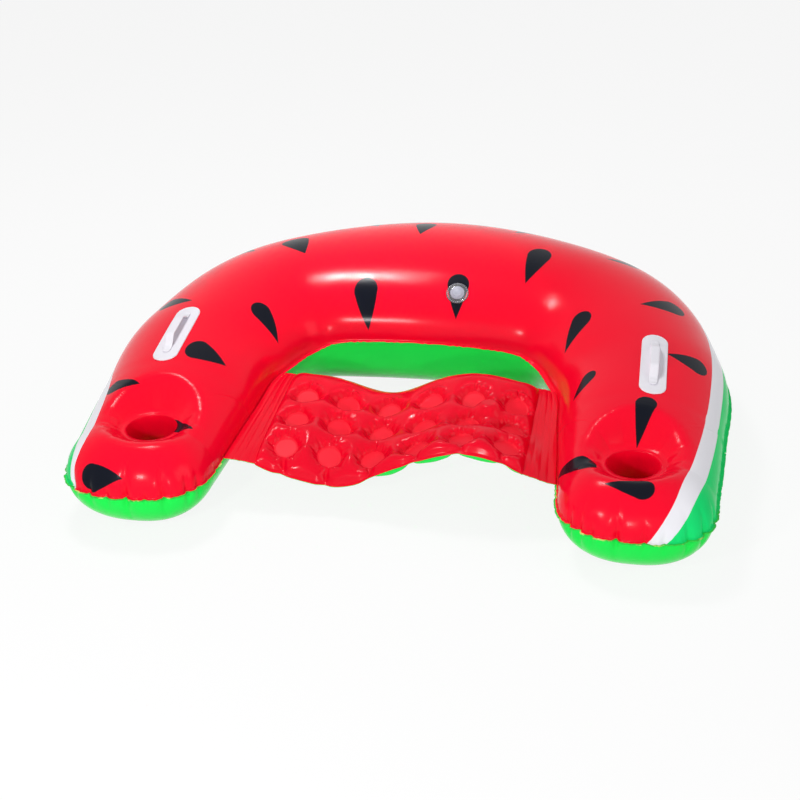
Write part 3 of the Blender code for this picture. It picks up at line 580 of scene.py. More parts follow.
def step_node(tree, value, edge, softness):
    """0 below an edge and 1 above it, with a soft change."""
    return add_node(tree, "ShaderNodeMapRange",
                    {"Value": value, "From Min": edge - softness, "From Max": edge + softness},
                    interpolation_type="SMOOTHSTEP").outputs["Result"]


def object_noise(tree, scale, detail=2.0):
    place = add_node(tree, "ShaderNodeTexCoord").outputs["Object"]
    return add_node(tree, "ShaderNodeTexNoise",
                    {"Vector": place, "Scale": scale, "Detail": detail}).outputs["Fac"]


def bump(tree, height, strength, distance, normal=None):
    """Normal of a surface with a relief, laid over another relief where there is one."""
    made = add_node(tree, "ShaderNodeBump", {"Height": height, "Strength": strength, "Distance": distance})
    if normal:
        tree.links.new(normal, made.inputs["Normal"])
    return made.outputs["Normal"]


def uv_numbers(tree, name):
    """The two numbers of a UV map."""
    uv = add_node(tree, "ShaderNodeUVMap", uv_map=name).outputs["UV"]
    split = add_node(tree, "ShaderNodeSeparateXYZ", {0: uv})
    return split.outputs["X"], split.outputs["Y"]


def film_surface(tree, shader, roughness, tension=0.22):
    """Gloss of a stretched film: soft large ripples, fine orange peel, and uneven wear in the roughness."""
    ripples = bump(tree, object_noise(tree, 20, 1), tension, 0.0012)
    skin = bump(tree, object_noise(tree, 420, 1), 0.08, 0.0002, ripples)
    wear = add_node(tree, "ShaderNodeMapRange", {"Value": object_noise(tree, 7, 3), "To Min": roughness * 0.8,
                                                 "To Max": roughness * 1.2}).outputs["Result"]
    plug(tree, shader, {"Normal": skin, "Roughness": wear, "Specular IOR Level": FILM_SPECULAR})


def colour_drift(tree, colour, amount=0.06):
    """The colour with a faint uneven depth, as printed film has."""
    return mix_colour(tree, object_noise(tree, 6, 3), tuple(c * (1 - amount) for c in colour),
                      tuple(min(c * (1 + amount), 1) for c in colour))


def seed_mask(tree):
    """1 inside a printed seed; the seed map holds each face's place in its own seed's frame."""
    across, along = uv_numbers(tree, "seed")
    # Round end: distance from the middle of the blob
    blob = math_node(tree, "SUBTRACT", 1.0, radius_node(tree, across, along))
    # Pointed end: half width between a cosine and a straight line down to the point
    gone = math_node(tree, "MULTIPLY", along, seed_radius_share)
    curved = math_node(tree, "COSINE", math_node(tree, "MULTIPLY", math_node(tree, "MINIMUM", gone, 1.1),
                                                 math.pi / 2))
    straight = math_node(tree, "SUBTRACT", 1.0, gone)
    taper = math_node(tree, "MULTIPLY", math_node(tree, "ADD", curved, straight), 0.5)
    slim = math_node(tree, "SUBTRACT", taper, math_node(tree, "ABSOLUTE", across))
    point = math_node(tree, "MINIMUM", slim, math_node(tree, "MULTIPLY", along, 8.0))
    return step_node(tree, math_node(tree, "MAXIMUM", blob, point), 0.0, 0.035)


def band_radius(tree, angle):
    """Distance from the print's middle to the inner edge of the rind band, by direction."""
    curve = add_node(tree, "ShaderNodeFloatCurve", {"Factor": 1})
    points = curve.mapping.curves[0].points
    edge = sorted((math.atan2(x - PRINT_MIDDLE[0], y - PRINT_MIDDLE[1]) / (2 * math.pi) + 0.5,
                   math.hypot(x - PRINT_MIDDLE[0], y - PRINT_MIDDLE[1])) for x, y in BAND_EDGE)
    points[0].location, points[1].location = edge[0], edge[-1]
    for place in edge[1:-1]:
        points.new(*place)
    curve.mapping.update()
    tree.links.new(math_node(tree, "ADD", math_node(tree, "DIVIDE", angle, 2 * math.pi), 0.5),
                   curve.inputs["Value"])
    return curve.outputs["Value"]


def printed_film(looks):
    """Watermelon print: red flesh with seeds, a white rind band and a green peel edge."""
    look, tree, shader = new_material("printed_film")
    x, y = uv_numbers(tree, "print")
    across = math_node(tree, "SUBTRACT", x, PRINT_MIDDLE[0])
    along = math_node(tree, "SUBTRACT", y, PRINT_MIDDLE[1])
    beyond = math_node(tree, "SUBTRACT", radius_node(tree, across, along),
                       band_radius(tree, math_node(tree, "ARCTAN2", across, along)))
    width = add_node(tree, "ShaderNodeMapRange",
                     dict(enumerate((across, -BAND_SIDE, BAND_SIDE, *BAND_WIDTHS)))).outputs["Result"]
    on_rind = step_node(tree, beyond, 0.0, PRINT_SOFTNESS)
    on_peel = step_node(tree, math_node(tree, "SUBTRACT", beyond, width), 0.0, PRINT_SOFTNESS)
    ink = mix_colour(tree, seed_mask(tree), colour_drift(tree, tuple(looks.red)), tuple(looks.seed))
    ink = mix_colour(tree, on_rind, ink, tuple(looks.rind))
    ink = mix_colour(tree, on_peel, ink, colour_drift(tree, tuple(looks.peel)))
    film_surface(tree, shader, looks.film_roughness)
    # The green ink is more matt than the red
    matt = math_node(tree, "MULTIPLY", on_peel, 0.08)
    plug(tree, shader, {"Base Color": ink,
                        "Specular IOR Level": math_node(tree, "SUBTRACT", FILM_SPECULAR, matt)})
    return look


def plain_film(name, colour, roughness, tension=0.35):
    look, tree, shader = new_material(name)
    tree.links.new(colour_drift(tree, colour), shader.inputs["Base Color"])
    film_surface(tree, shader, roughness, tension)
    return look


def seat_film(name, colour, roughness):
    """Film of the seat: every disc's rim is pressed, and its face is stamped matt."""
    look, tree, shader = new_material(name)
    gap = uv_numbers(tree, "weld")[0]
    disc = math_node(tree, "SUBTRACT", 1.0, step_node(tree, gap, 0.0, 0.04))
    body = colour_drift(tree, colour)
    paler = tuple(min(c * 1.1 + 0.012, 1) for c in colour)
    tree.links.new(mix_colour(tree, disc, body, paler), shader.inputs["Base Color"])
    film_surface(tree, shader, roughness, 0.18)
    worn = shader.inputs["Roughness"].links[0].from_socket
    tree.links.new(math_node(tree, "ADD", worn, math_node(tree, "MULTIPLY", disc, 0.28)),
                   shader.inputs["Roughness"])
    rim = math_node(tree, "SUBTRACT", 1.0, step_node(tree, math_node(
        tree, "ABSOLUTE", math_node(tree, "ADD", gap, 0.10)), 0.06, 0.05))
    skin = shader.inputs["Normal"].links[0].from_socket
    tree.links.new(bump(tree, rim, 0.5, 0.0006, skin), shader.inputs["Normal"])
    return look


def weld_edge(looks):
    """Film margin outside a seam, where two films and the print's bleed show yellow-green."""
    look, tree, shader = new_material("weld_edge")
    bleed = step_node(tree, object_noise(tree, 60), 0.60, 0.05)
    tree.links.new(mix_colour(tree, bleed, (0.04, 0.62, 0.07), (0.55, 0.78, 0.20)),
                   shader.inputs["Base Color"])
    film_surface(tree, shader, looks.film_roughness)
    return look


def handle_vinyl(looks):
    """Moulded soft vinyl with a satin skin."""
    look, tree, shader = new_material("handle_vinyl")
    tree.links.new(colour_drift(tree, tuple(looks.vinyl), 0.02), shader.inputs["Base Color"])
    film_surface(tree, shader, 0.36, 0.12)
    return look


def clear_vinyl(name, colour, clearness):
    """Clear soft vinyl, cloudy where it is thick."""
    look, tree, shader = new_material(name)
    cloud = object_noise(tree, 160)
    pale = tuple(min(c * 1.3, 1) for c in colour)
    plug(tree, shader, {"Base Color": mix_colour(tree, cloud, colour, pale), "Roughness": 0.16, "IOR": 1.5,
                        "Transmission Weight": clearness, "Normal": bump(tree, cloud, 0.1, 0.0003)})
    return look


# Tube films

def crease_table(tube, upper):
    """Creases of each side as places along its seam, depths, lengths and widths."""
    settings = tube.sizes
    tables = {}
    for side, listed in ((1, RIGHT_TIP_CREASES), (-1, LEFT_TIP_CREASES)):
        chance = random.Random(settings.crease_seed * side)
        rows = [(float(np.interp(degrees, tube.tip_degrees, tube.tip_places)), depth, length, width)
                for degrees, depth, length, width in listed]
        # Small creases between the listed ones all round the tip, then fewer and shallower ones to the back
        place = tube.tip_places[0] - CREASE_OVERRUN[0]
        for end, (step, *ranges) in ((tube.tip_places[-1] + CREASE_OVERRUN[0], SMALL_CREASES),
                                     (tube.outer_end + CREASE_OVERRUN[1], OUTER_CREASES)):
            while place < end:
                place += chance.uniform(*step)
                rows.append((place, *(chance.uniform(*limits) for limits in ranges)))
        table = np.array(rows)
        if not upper:
            table[:, 2] *= 0.8
        tables[side] = table
    return tables


def crease_depth(table, place, distance):
    """Depth of all creases at a place along the seam and a distance from it."""
    depth = np.zeros(len(place))
    for at, deep, length, width in table:
        near = np.abs(place - at) < 4 * width
        spread = width * (1 + 0.6 * distance[near] / length)
        beside = np.abs(place[near] - at) / spread
        depth[near] += deep * np.exp(-beside ** 1.3) * (1 - ease(distance[near] / length))
    return depth


def well_ripple(tube, plan, side, upper):
    """Height of the folds that run out from a cup well."""
    chance = random.Random(31 * side + (5 if upper else 9))
    offset = plan - tube.well_centre
    angle = np.arctan2(offset[:, 1], offset[:, 0])
    radius = np.linalg.norm(offset, axis=1)
    fall = ease((radius - tube.well_flat) / 0.010) * (1 - ease((radius - 0.058) / 0.036))
    height = np.zeros(len(plan))
    turns, depths, widths = WELL_FOLD_RANGES
    for i in range(WELL_FOLDS):
        at = 2 * math.pi * (i + chance.uniform(*turns)) / WELL_FOLDS
        turn = (angle - at + math.pi) % (2 * math.pi) - math.pi
        beside = abs(math.cos(at)) ** 2
        deep = chance.uniform(*depths) * (0.6 + 1.2 * beside)
        wide = chance.uniform(*widths)
        height -= deep * np.exp(-(turn / wide) ** 2)
    return height * fall


def build_tube_film(name, tube, upper, materials, node):
    """The loft over both arms and the back, and the rings round each cup well, as one film."""
    settings = tube.sizes
    upward = 1 if upper else -1
    across = round(CELLS_ACROSS / settings.cell)
    along = 2 * round((1 - patch_share) * tube.length / settings.cell)
    outline, normals, seam_place = tube.tip_outline()
    inner_start, outer_start = seam_place[0], seam_place[-1]
    tube.outer_end = outer_start + float(tube.seam_run(np.array([1.0]), 1)[0])

    bm, places = make_grid(along, across + 2 * MARGIN_STEPS)
    turn = 2.0 * places[:, 0] / along - 1
    side = np.where(turn < 0, -1, 1)
    share = 1 - (1 - patch_share) * np.abs(turn)
    row = np.clip(places[:, 1] - MARGIN_STEPS, 0, across)
    angle = math.pi * (row / across - 0.5)
    points, flat, distance = tube.section_point(share, angle, upper)
    out = np.where((angle < 0)[:, None], tube.at(tube.inner_out, share), tube.at(tube.out, share))
    margin = (places[:, 1] - MARGIN_STEPS - row) / MARGIN_STEPS
    inner_weld = settings.inner_weld * (1 - 0.5 * ease((share - 0.55) / 0.2))
    reach = np.where(margin < 0, inner_weld, settings.outer_weld) * margin
    points[:, :2] += out * reach[:, None]
    flat += out * reach[:, None]
    place = np.where(angle > 0, outer_start + tube.seam_run(share, 1), inner_start - tube.seam_run(share, -1))
    parts = [dict(points=points, flat=flat, distance=distance, place=place, side=side, margin=margin,
                  normal=out * np.sign(angle)[:, None], plan=points[:, :2].copy())]
    bms = [bm]

    # Rings round a well: every ray runs to a point of the loft's last section or of the tip's seam
    section_angle = math.pi * (np.arange(across, -1, -1) / across - 0.5)
    last, last_flat, _ = tube.section_point(np.full(across + 1, patch_share), section_angle, upper)
    targets = np.concatenate((last[:, :2], outline))
    plain, plain_flat, _ = tube.plan_point(last[:, :2], upper)
    step = np.column_stack((last - plain, last_flat - plain_flat))
    count = len(targets)
    inward = [0.0, 0.4, 1.0] if upper else [-6.0, -3.0, 0.0]
    rings = round(WELL_REACH / settings.cell) + MORE_RINGS
    rise = np.sin(np.linspace(0, math.pi / 2, rings + 1))
    start = tube.well.radius + GAP if upper else 0
    extra = len(inward) - 1
    for side_sign in (1, -1):
        bm, places = make_grid(count, extra + rings + MARGIN_STEPS)
        ray = places[:, 0] % count
        target = targets[ray]
        direction = target - tube.well_centre
        length = np.linalg.norm(direction, axis=1)
        direction /= length[:, None]
        ring = np.clip(places[:, 1] - extra, 0, rings)
        radius = tube.well_flat + (length - tube.well_flat) * rise[ring]
        inner_radius = start + (tube.well_flat - start) * places[:, 1] / extra
        radius = np.where(places[:, 1] < extra, inner_radius, radius)
        plan = tube.well_centre + direction * radius[:, None]
        on_seam = ray > across
        away = np.zeros_like(plan)
        away[on_seam] = normals[ray[on_seam] - across - 1]
        points, flat, distance = tube.plan_point(plan, upper)
        meeting = ~on_seam
        fade = (ring[meeting] / rings)[:, None] ** 3
        points[meeting] += step[ray[meeting], :3] * fade
        flat[meeting] += step[ray[meeting], 3:] * fade
        margin = np.maximum(places[:, 1] - extra - rings, 0) / MARGIN_STEPS
        along_seam = seam_place[np.clip(ray - across - 1, 0, None)]
        blend = ease((along_seam - inner_start) / 0.10)
        width = settings.inner_weld + (settings.outer_weld - settings.inner_weld) * blend
        reach = np.where(on_seam, width * margin, 0)
        points[:, :2] += away * reach[:, None]
        flat += away * reach[:, None]
        at_seam = on_seam & (ring == rings)
        seam_level = tube.level(tube.nearest(plan)[0], np.zeros(len(plan)), upper)
        points[at_seam, 2] = seam_level[at_seam]
        place = np.where(on_seam, along_seam, OFF_SEAM)
        parts.append(dict(points=points, flat=flat, distance=distance, place=place,
                          side=np.full(len(points), side_sign), margin=np.where(on_seam, margin, 0),
                          normal=away, plan=plan))
        bms.append(bm)

    tables = crease_table(tube, upper)
    joined = bmesh.new()
    whole = bpy.data.meshes.new(name + "_whole")
    flats, margins = [], []
    for part, bm in zip(parts, bms):
        points, side, place = part["points"], part["side"], part["place"]
        depth = np.zeros(len(points))
        for sign in (1, -1):
            mine = side == sign
            depth[mine] = crease_depth(tables[sign], place[mine], part["distance"][mine])
            if bm is not bms[0]:
                points[mine, 2] += well_ripple(tube, part["plan"][mine], sign, upper) * upward
        # A crease pulls the film towards the middle of the tube, and its seam with it
        towards = np.column_stack((part["normal"], np.zeros(len(points))))
        lift = ease(part["distance"] / 0.05)
        push = towards * (1 - lift)[:, None]
        push[:, 2] = lift * upward * 0.9
        points -= push * depth[:, None]
        if not upper:
            points[:, 2] = np.maximum(points[:, 2], 0)
        # The free margin waves a little
        out_on_margin = np.abs(part["margin"])
        wave = np.sin(place * 310 + 3 * np.sin(place * 97)) * 0.0007 * out_on_margin
        points[:, 2] += np.where(place < OFF_SEAM, wave, 0)
        points[:, 0] *= side
        part["flat"][:, 0] *= side
        move_to(bm, points)
        bm.to_mesh(whole)
        joined.from_mesh(whole)
        bm.free()
        flats.append(part["flat"])
        margins.append(np.where((place > tube.tip_places[0] - 0.03) & (place < tube.tip_places[-1]),
                                out_on_margin, 0))
    bpy.data.meshes.remove(whole)
    joined.verts.index_update()
    write_prints(joined, np.concatenate(flats), np.concatenate(margins), materials)
    bmesh.ops.remove_doubles(joined, verts=joined.verts, dist=MERGE)
    smooth_meeting(joined, tube)
    turn_outwards(joined, upper)
    if upper:
        cut_round_hole(joined, valve_frame("valve"))
    made = finished(joined, name, materials, "ring")
    thicken(made)
    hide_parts(node)
    return made


def smooth_meeting(bm, tube):
    """Even the film out where the rings of a well meet the loft, away from its seams."""
    at = np.array([patch_share])
    centre, out, wide = tube.at(tube.line, at)[0], tube.at(tube.out, at)[0], tube.at(tube.width, at)[0]
    for reach, times in ((0.016, 6), (0.009, 10)):
        near = []
        for vert in bm.verts:
            offset = np.array((abs(vert.co.x), vert.co.y)) - centre
            if abs(offset[0] * out[1] - offset[1] * out[0]) < reach and abs(offset @ out) < wide * 0.97:
                near.append(vert)
        for _ in range(times):
            bmesh.ops.smooth_vert(bm, verts=near, factor=0.5, use_axis_x=True, use_axis_y=True, use_axis_z=True)


def cut_round_hole(bm, place):
    """Cut a film out round a valve: trim the faces near it to a many-sided hole, then drop what is inside."""
    radius, sides = HOLE_RADIUS, HOLE_SIDES
    into = place.inverted()
    near = [face for face in bm.faces if (into @ face.calc_center_median()).length < radius * 2.2]
    for i in range(sides):
        away = place.to_3x3() @ Vector((math.cos(2 * math.pi * i / sides),
                                        math.sin(2 * math.pi * i / sides), 0))
        geom = set(near)
        for face in near:
            geom.update(face.verts)
            geom.update(face.edges)
        cut = bmesh.ops.bisect_plane(bm, geom=list(geom), dist=1e-6,
                                     plane_co=place.translation + away * radius, plane_no=away)
        near = [item for item in cut["geom"] if isinstance(item, bmesh.types.BMFace)]
    inside = [face for face in near
              if (into @ face.calc_center_median()).to_2d().length < radius * math.cos(math.pi / sides)
              and abs((into @ face.calc_center_median()).z) < radius]
    bmesh.ops.delete(bm, geom=inside, context="FACES")


def write_prints(bm, flat, margin, materials):
    """Flat print places, seed frames and the margin's own material, face by face."""
    print_map = bm.loops.layers.uv.new("print")
    seed_map = bm.loops.layers.uv.new("seed")
    blobs, points, widths = (np.array(column) for column in zip(*SEEDS))
    middles = (blobs * 2 + points) / 3
    heads = points - blobs
    lengths = np.linalg.norm(heads, axis=1)
    heads /= lengths[:, None]
    for face in bm.faces:
        indices = [vert.index for vert in face.verts]
        centre = flat[indices].mean(axis=0)
        nearest = int(((middles - centre) ** 2).sum(1).argmin())
        blob, head, radius = blobs[nearest], heads[nearest], lengths[nearest] * seed_radius_share
        for loop in face.loops:
            place = flat[loop.vert.index]
            loop[print_map].uv = place
            offset = (place - blob) / radius
            loop[seed_map].uv = ((offset[0] * head[1] - offset[1] * head[0]) / widths[nearest],
                                 offset @ head)
        if margin[indices].mean() > margin_look_share:
            face.material_index = 1


class RING_OT_tube(Operator):
    """Lay the printed upper film and the green lower film of the tube"""
    bl_idname = "lounge_ring.tube"
    bl_label = "Tube films"

    def execute(self, context):
        scene = context.scene
        tube = Tube(scene.ring_tube, scene.ring_well)
        looks = scene.ring_looks
        edge = weld_edge(looks)
        build_tube_film("upper_skin", tube, True, [printed_film(looks), edge],
                        "ring_top_film")
        green = plain_film("green_film", tuple(looks.green), looks.film_roughness)
        build_tube_film("lower_skin", tube, False, [green, edge], "ring_bottom_film")
        return {"FINISHED"}


# Cup wells

class RING_OT_wells(Operator):
    """Line each cup well with a rolled wall"""
    bl_idname = "lounge_ring.wells"
    bl_label = "Cup wells"

    def execute(self, context):
        scene = context.scene
        well = scene.ring_well
        tube = Tube(scene.ring_tube, well)
        red = plain_film("well_film", tuple(scene.ring_looks.red), scene.ring_looks.film_roughness)
        top, foot = well.lip_height - GAP, well.floor_height + FILM + GAP
        radius, rim = well.radius, well.radius + well.weld
        profile = [(rim, top - FILM), (rim, top), (radius + 0.0006, top), (radius, top - 0.0012),
                   (radius, foot + 0.0014), (radius + 0.0006, foot), (rim, foot), (rim, foot + FILM),
                   (radius + 0.0014, foot + FILM), (radius + 0.0010, foot + 0.0030),
                   (radius + 0.0010, top - 0.0030), (radius + 0.0014, top - FILM)]
        for label, side in (("left", -1), ("right", 1)):
            bm = lathe(profile, 96)
            bmesh.ops.translate(bm, verts=bm.verts, vec=(side * tube.well_centre[0], tube.well_centre[1], 0))
            made = finished(bm, "well_wall_" + label, [red], "ring")
            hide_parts("cup_wall_" + label)
        return {"FINISHED"}


# Seat panel

fold_places = (-1.0, -0.6, -0.12, 0.45, 1.0)
fold_shares = (0.0, 0.1, -1.0, 1.5, 0.0)
# How far the blown-up panel hangs off its fold, at places across it and from its rear to its front
DRAPE_X = (-0.250, -0.1775, -0.1065, -0.0355, 0.0355, 0.1065, 0.1775, 0.250)
DRAPE_Y = (-0.310, -0.272, -0.201, -0.130, -0.056)
DRAPE = ((0, -0.0110, -0.0085, 0.0095, 0.0085, 0.0060, 0.0030, 0),
         (0, -0.0020, 0.0000, 0.0100, 0.0110, 0.0110, 0.0100, 0),
         (0, 0.0000, 0.0040, 0.0070, 0.0030, -0.0110, -0.0110, 0),
         (0, -0.0020, 0.0010, 0.0060, 0.0050, -0.0110, -0.0110, 0),
         (0, -0.0080, -0.0095, -0.0110, -0.0050, -0.0110, -0.0110, 0))
DISC_LEANS = (0.30, 0.14, 0.04)      # slope of the weld discs, rear row first
DISC_PUCKERS = 17                    # creases round a disc, besides those to its neighbours
PUCKER_REACH = 0.032
STRIP_LINES = (0.22, 0.50, 0.74)     # pressed lines along a side strip, in shares of its width
panel_share = 0.82                   # share of the grid's columns on the blown-up panel
PANEL_HALF_WIDTH = 0.265             # sets the number of columns
FLAP_ROOM = 0.0360                   # height of the upper film over the valve below it


class SeatShape:
    """Where the panel lies between the arms, and how it is folded."""

    def __init__(self, seat, tube):
        self.seat = seat
        self.span = seat.pitch * seat.columns / 2
        share = tube.shares[tube.shares <= section_shares[2]]
        edge = tube.at(tube.line, share) - tube.at(tube.out, share) * tube.at(tube.width, share)[:, None]
        self.seam_y, self.seam_x = edge[:, 1], edge[:, 0]
        self.seam_z = tube.at(tube.seam, share)

    def edge(self, y):
        """Half width at y, and height of the middle plane at the arms."""
        order = np.argsort(self.seam_y)
        half = np.interp(y, self.seam_y[order], self.seam_x[order]) - self.seat.clearance
        level = np.interp(y, self.seam_y[order], self.seam_z[order])
        return half, level + GAP + 2 * FILM + self.seat.lift

    def plane(self, x, y):
        half, level = self.edge(y)
        fold = self.seat.sag * smooth_curve(fold_places, fold_shares, np.clip(x / half, -1, 1))[:, 0]
        across = smooth_curve(DRAPE_X, np.transpose(DRAPE), np.clip(x, DRAPE_X[0], DRAPE_X[-1]))
        weights = smooth_curve(DRAPE_Y, np.eye(len(DRAPE_Y)), np.clip(y, DRAPE_Y[0], DRAPE_Y[-1]))
        hang = (across * weights).sum(1)
        # Each weld disc leans towards the front, most in the rear row
        for i, (disc_x, disc_y) in enumerate(self.discs()):
            ahead = y - disc_y
            gap = np.hypot(x - disc_x, ahead) - self.seat.disc_radius
            hang += DISC_LEANS[i % self.seat.rows] * ahead * (1 - ease(gap / 0.015))
        return level + fold + hang

    def bowed(self, x, y):
        return y + self.seat.bow * (x / self.edge(y)[0]) ** 2

    def discs(self):
        """Middles of the weld discs."""
        seat = self.seat
        columns = seat.pitch * (np.arange(seat.columns) + 0.5) - self.span + seat.disc_shift
        rows = seat.rear - seat.first_row - seat.pitch * np.arange(seat.rows)
        return np.array([(x, y) for x in columns for y in rows])


def dome(value, reach):
    """A quarter of an ellipse: steep at 0, level from reach on."""
    return np.sqrt(1 - (1 - np.clip(value / reach, 0, 1)) ** 2)


def seat_swell(shape, x, y):
    """Height of the blown-up film over its welds, as soft pillows between the discs."""
    seat = shape.seat
    discs = shape.discs()
    gaps = np.hypot(x[:, None] - discs[:, 0], y[:, None] - discs[:, 1]) - seat.disc_radius
    # A soft minimum keeps the pillows round where the reach of two discs meets
    between = -seat.pillow_blend * np.log(np.exp(-gaps / seat.pillow_blend).sum(1))
    # Behind a disc the film stands up, and before it the film rises slowly
    near = np.exp(-gaps / seat.pillow_blend)
    behind = (near * (y[:, None] - discs[:, 1]) / (gaps + seat.disc_radius)).sum(1) / near.sum(1)
    rise = dome(between, 0.030) ** (1.45 - 0.6 * behind)
    return seat.swell * rise * (dome(shape.span - np.abs(x), 0.024) * dome(seat.rear - y, 0.034)
                                * dome(y - seat.front, 0.017))


def seat_puckers(shape, x, y, mirrored):
    """Depth of the creases that run out from every disc, between discs, and to the front edge."""
    seat = shape.seat
    chance = random.Random(seat.pucker_seed + mirrored)
    depth = np.zeros(len(x))
    for middle_x, middle_y in shape.discs():
        away_x, away_y = x - middle_x, y - middle_y
        gap = np.hypot(away_x, away_y) - seat.disc_radius
        near = (gap > 0) & (gap < PUCKER_REACH)
        angle = np.arctan2(away_y[near], away_x[near])
        gap = gap[near]
        creases = [(math.pi / 2 * i, 1.4, 0.0190, 0.0024) for i in range(4)]
        creases += [(2 * math.pi * (i + chance.uniform(-0.3, 0.3)) / DISC_PUCKERS, chance.uniform(0.45, 1.0),
                     chance.uniform(0.009, 0.021), chance.uniform(0.0017, 0.0024))
                    for i in range(DISC_PUCKERS)]
        for at, strength, length, width in creases:
            turn = (angle - at + math.pi) % (2 * math.pi) - math.pi
            beside = np.abs(turn) * (gap + seat.disc_radius) / (width * (0.7 + gap / 0.02))
            fall = ease(gap / 0.004) * (1 - ease(gap / length))
            depth[near] += seat.pucker * strength * np.exp(-beside ** 1.3) * fall
    to_front = y - seat.front
    to_rear = seat.rear - y
    for middle_x in shape.discs()[::seat.rows, 0]:
        slack = chance.uniform(0.8, 1.0)
        beside = np.abs(x - middle_x + chance.uniform(-0.006, 0.006)) / 0.0042
        depth += 0.0120 * slack * np.exp(-beside ** 1.2) * (1 - ease(to_front / 0.020)) * ease(to_front / 0.002)
        beside = np.abs(x - middle_x + chance.uniform(-0.02, 0.02)) / 0.0034
        depth += 0.0035 * slack * np.exp(-beside ** 1.2) * (1 - ease(to_rear / 0.016)) * ease(to_rear / 0.003)
    return depth


def flatten_discs(shape, x, y, level):
    """Make every weld disc a flat plate in the hanging panel, with a soft turn round it."""
    for disc_x, disc_y in shape.discs():
        away_x, away_y = x - disc_x, y - disc_y
        gap = np.hypot(away_x, away_y) - shape.seat.disc_radius
        slopes = np.column_stack((np.ones(len(x)), away_x, away_y))
        plate = slopes @ np.linalg.lstsq(slopes[gap < 0], level[gap < 0], rcond=None)[0]
        level += (plate - level) * (1 - ease(gap / 0.012))
    return level


def build_seat(shape, looks):
    """Upper and lower film of the panel, both from one field of pillows over the weld discs."""
    seat = shape.seat
    depth = seat.rear - seat.front + 2 * seat.margin
    columns, rows = 2 * round(PANEL_HALF_WIDTH / seat.cell), round(depth / seat.cell)
    bm, places = make_grid(columns, rows)
    bm.free()
    y = seat.front - seat.margin + depth * places[:, 1] / rows
    half = shape.edge(y)[0]
    u = 2.0 * places[:, 0] / columns - 1
    # Even cells over the panel, and what is left for the flat strips beside the arms
    beyond = (np.abs(u) - panel_share) / (1 - panel_share)
    x = np.where(beyond < 0, u / panel_share * shape.span,
                 np.sign(u) * (shape.span + beyond * (half - shape.span)))
    discs = shape.discs()
    to_disc = np.hypot(x[:, None] - discs[:, 0], y[:, None] - discs[:, 1]).min(1) - seat.disc_radius
    inside = (np.abs(x) < shape.span) & (y < seat.rear) & (y > seat.front)
    swell = np.where(inside & (to_disc > 0), seat_swell(shape, x, y), 0)

    strip = np.clip((np.abs(x) - shape.span) / np.maximum(half - shape.span, EDGE_MARGIN), 0, 1)
    lines = sum(np.exp(-((strip - at) / 0.035) ** 2) for at in STRIP_LINES)
    strip_relief = (np.sin(strip * 9 + 1.4 * np.sin(y * 24)) * 0.0003 - lines * 0.0006) * dome(strip, 0.2)
    strip_relief *= np.where(np.abs(x) > shape.span, dome(1 - strip, 0.2), 0)
    # The front weld hangs down on the left and is pulled up on the right
    side = np.tanh((x + 0.02) / 0.03)
    lean = seat.lean * np.where(side < 0, 1.7, 1.0) * side * (1 - np.clip(np.abs(x) / shape.span, 0, 1) ** 6)
    lean *= 1 - ease((y - seat.front) / 0.034)
    tucked = 1 - 0.75 * ease(0.5 - side / 2) * (1 - ease((y - seat.front) / 0.05))
    # Between its creases the front weld bulges forward
    pull = sum(np.exp(-((x - at) / 0.009) ** 2) for at in discs[::seat.rows, 0])
    pull = (pull - 0.6) * 0.0035 * (1 - ease((y - seat.front) / 0.030)) * (np.abs(x) < shape.span)
    for name, upper, colour, node in (("seat_upper_skin", True, looks.seat_red, "seat_top_film"),
                                      ("seat_lower_skin", False, looks.green, "seat_bottom_film")):
        sign = 1 if upper else -1
        cover = (FILM + GAP / 2) * sign
        creased = np.maximum(swell - seat_puckers(shape, x, y, not upper) * (swell > 0), 0)
        if not upper:
            creased *= tucked
        bowed = shape.bowed(x, y)
        level = flatten_discs(shape, x, y, shape.plane(x, bowed) + lean)
        level += cover + sign * creased + strip_relief
        if not upper:
            # Its cut edge stays hidden under the upper film
            bowed = bowed - np.clip((y - seat.rear) / seat.margin, 0, 1) * 0.0015
        points = np.column_stack((x, bowed + pull, level))
        valve = valve_frame("seat_valve").translation
        away = np.hypot(points[:, 0] - valve.x, points[:, 1] - valve.y)
        if upper:
            # The pillow leaves room for the valve's flap
            room = np.maximum(valve.z + FLAP_ROOM - points[:, 2], 0)
            points[:, 2] += room * (1 - ease((away - 0.009) / 0.018))
        else:
            # The film lies flat round the valve
            points[:, 2] += (valve.z - points[:, 2]) * (1 - ease((away - 0.021) / 0.010))
        bm = make_grid(columns, rows)[0]
        move_to(bm, points)
        weld_map = bm.loops.layers.uv.new("weld")
        bm.verts.index_update()
        for face in bm.faces:
            for loop in face.loops:
                loop[weld_map].uv = (to_disc[loop.vert.index] / 0.01, strip[loop.vert.index])
        turn_outwards(bm, upper)
        if not upper:
            cut_round_hole(bm, valve_frame("seat_valve"))
        look = seat_film(name.replace("skin", "film"), tuple(colour), looks.film_roughness * 0.8)
        made = finished(bm, name, [look], "ring")
        thicken(made)
        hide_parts(node)


class RING_OT_seat(Operator):
    """Lay the two films of the tufted seat panel between the arms"""
    bl_idname = "lounge_ring.seat"
    bl_label = "Seat panel"

    def execute(self, context):
        scene = context.scene
        tube = Tube(scene.ring_tube, scene.ring_well)
        build_seat(SeatShape(scene.ring_seat, tube), scene.ring_looks)
        return {"FINISHED"}


# Grab handles

def patch_level(tube, x, y):
    plan = np.column_stack((x, y))
    return tube.plan_point(plan, True, dipped=False)[0][:, 2] + GAP


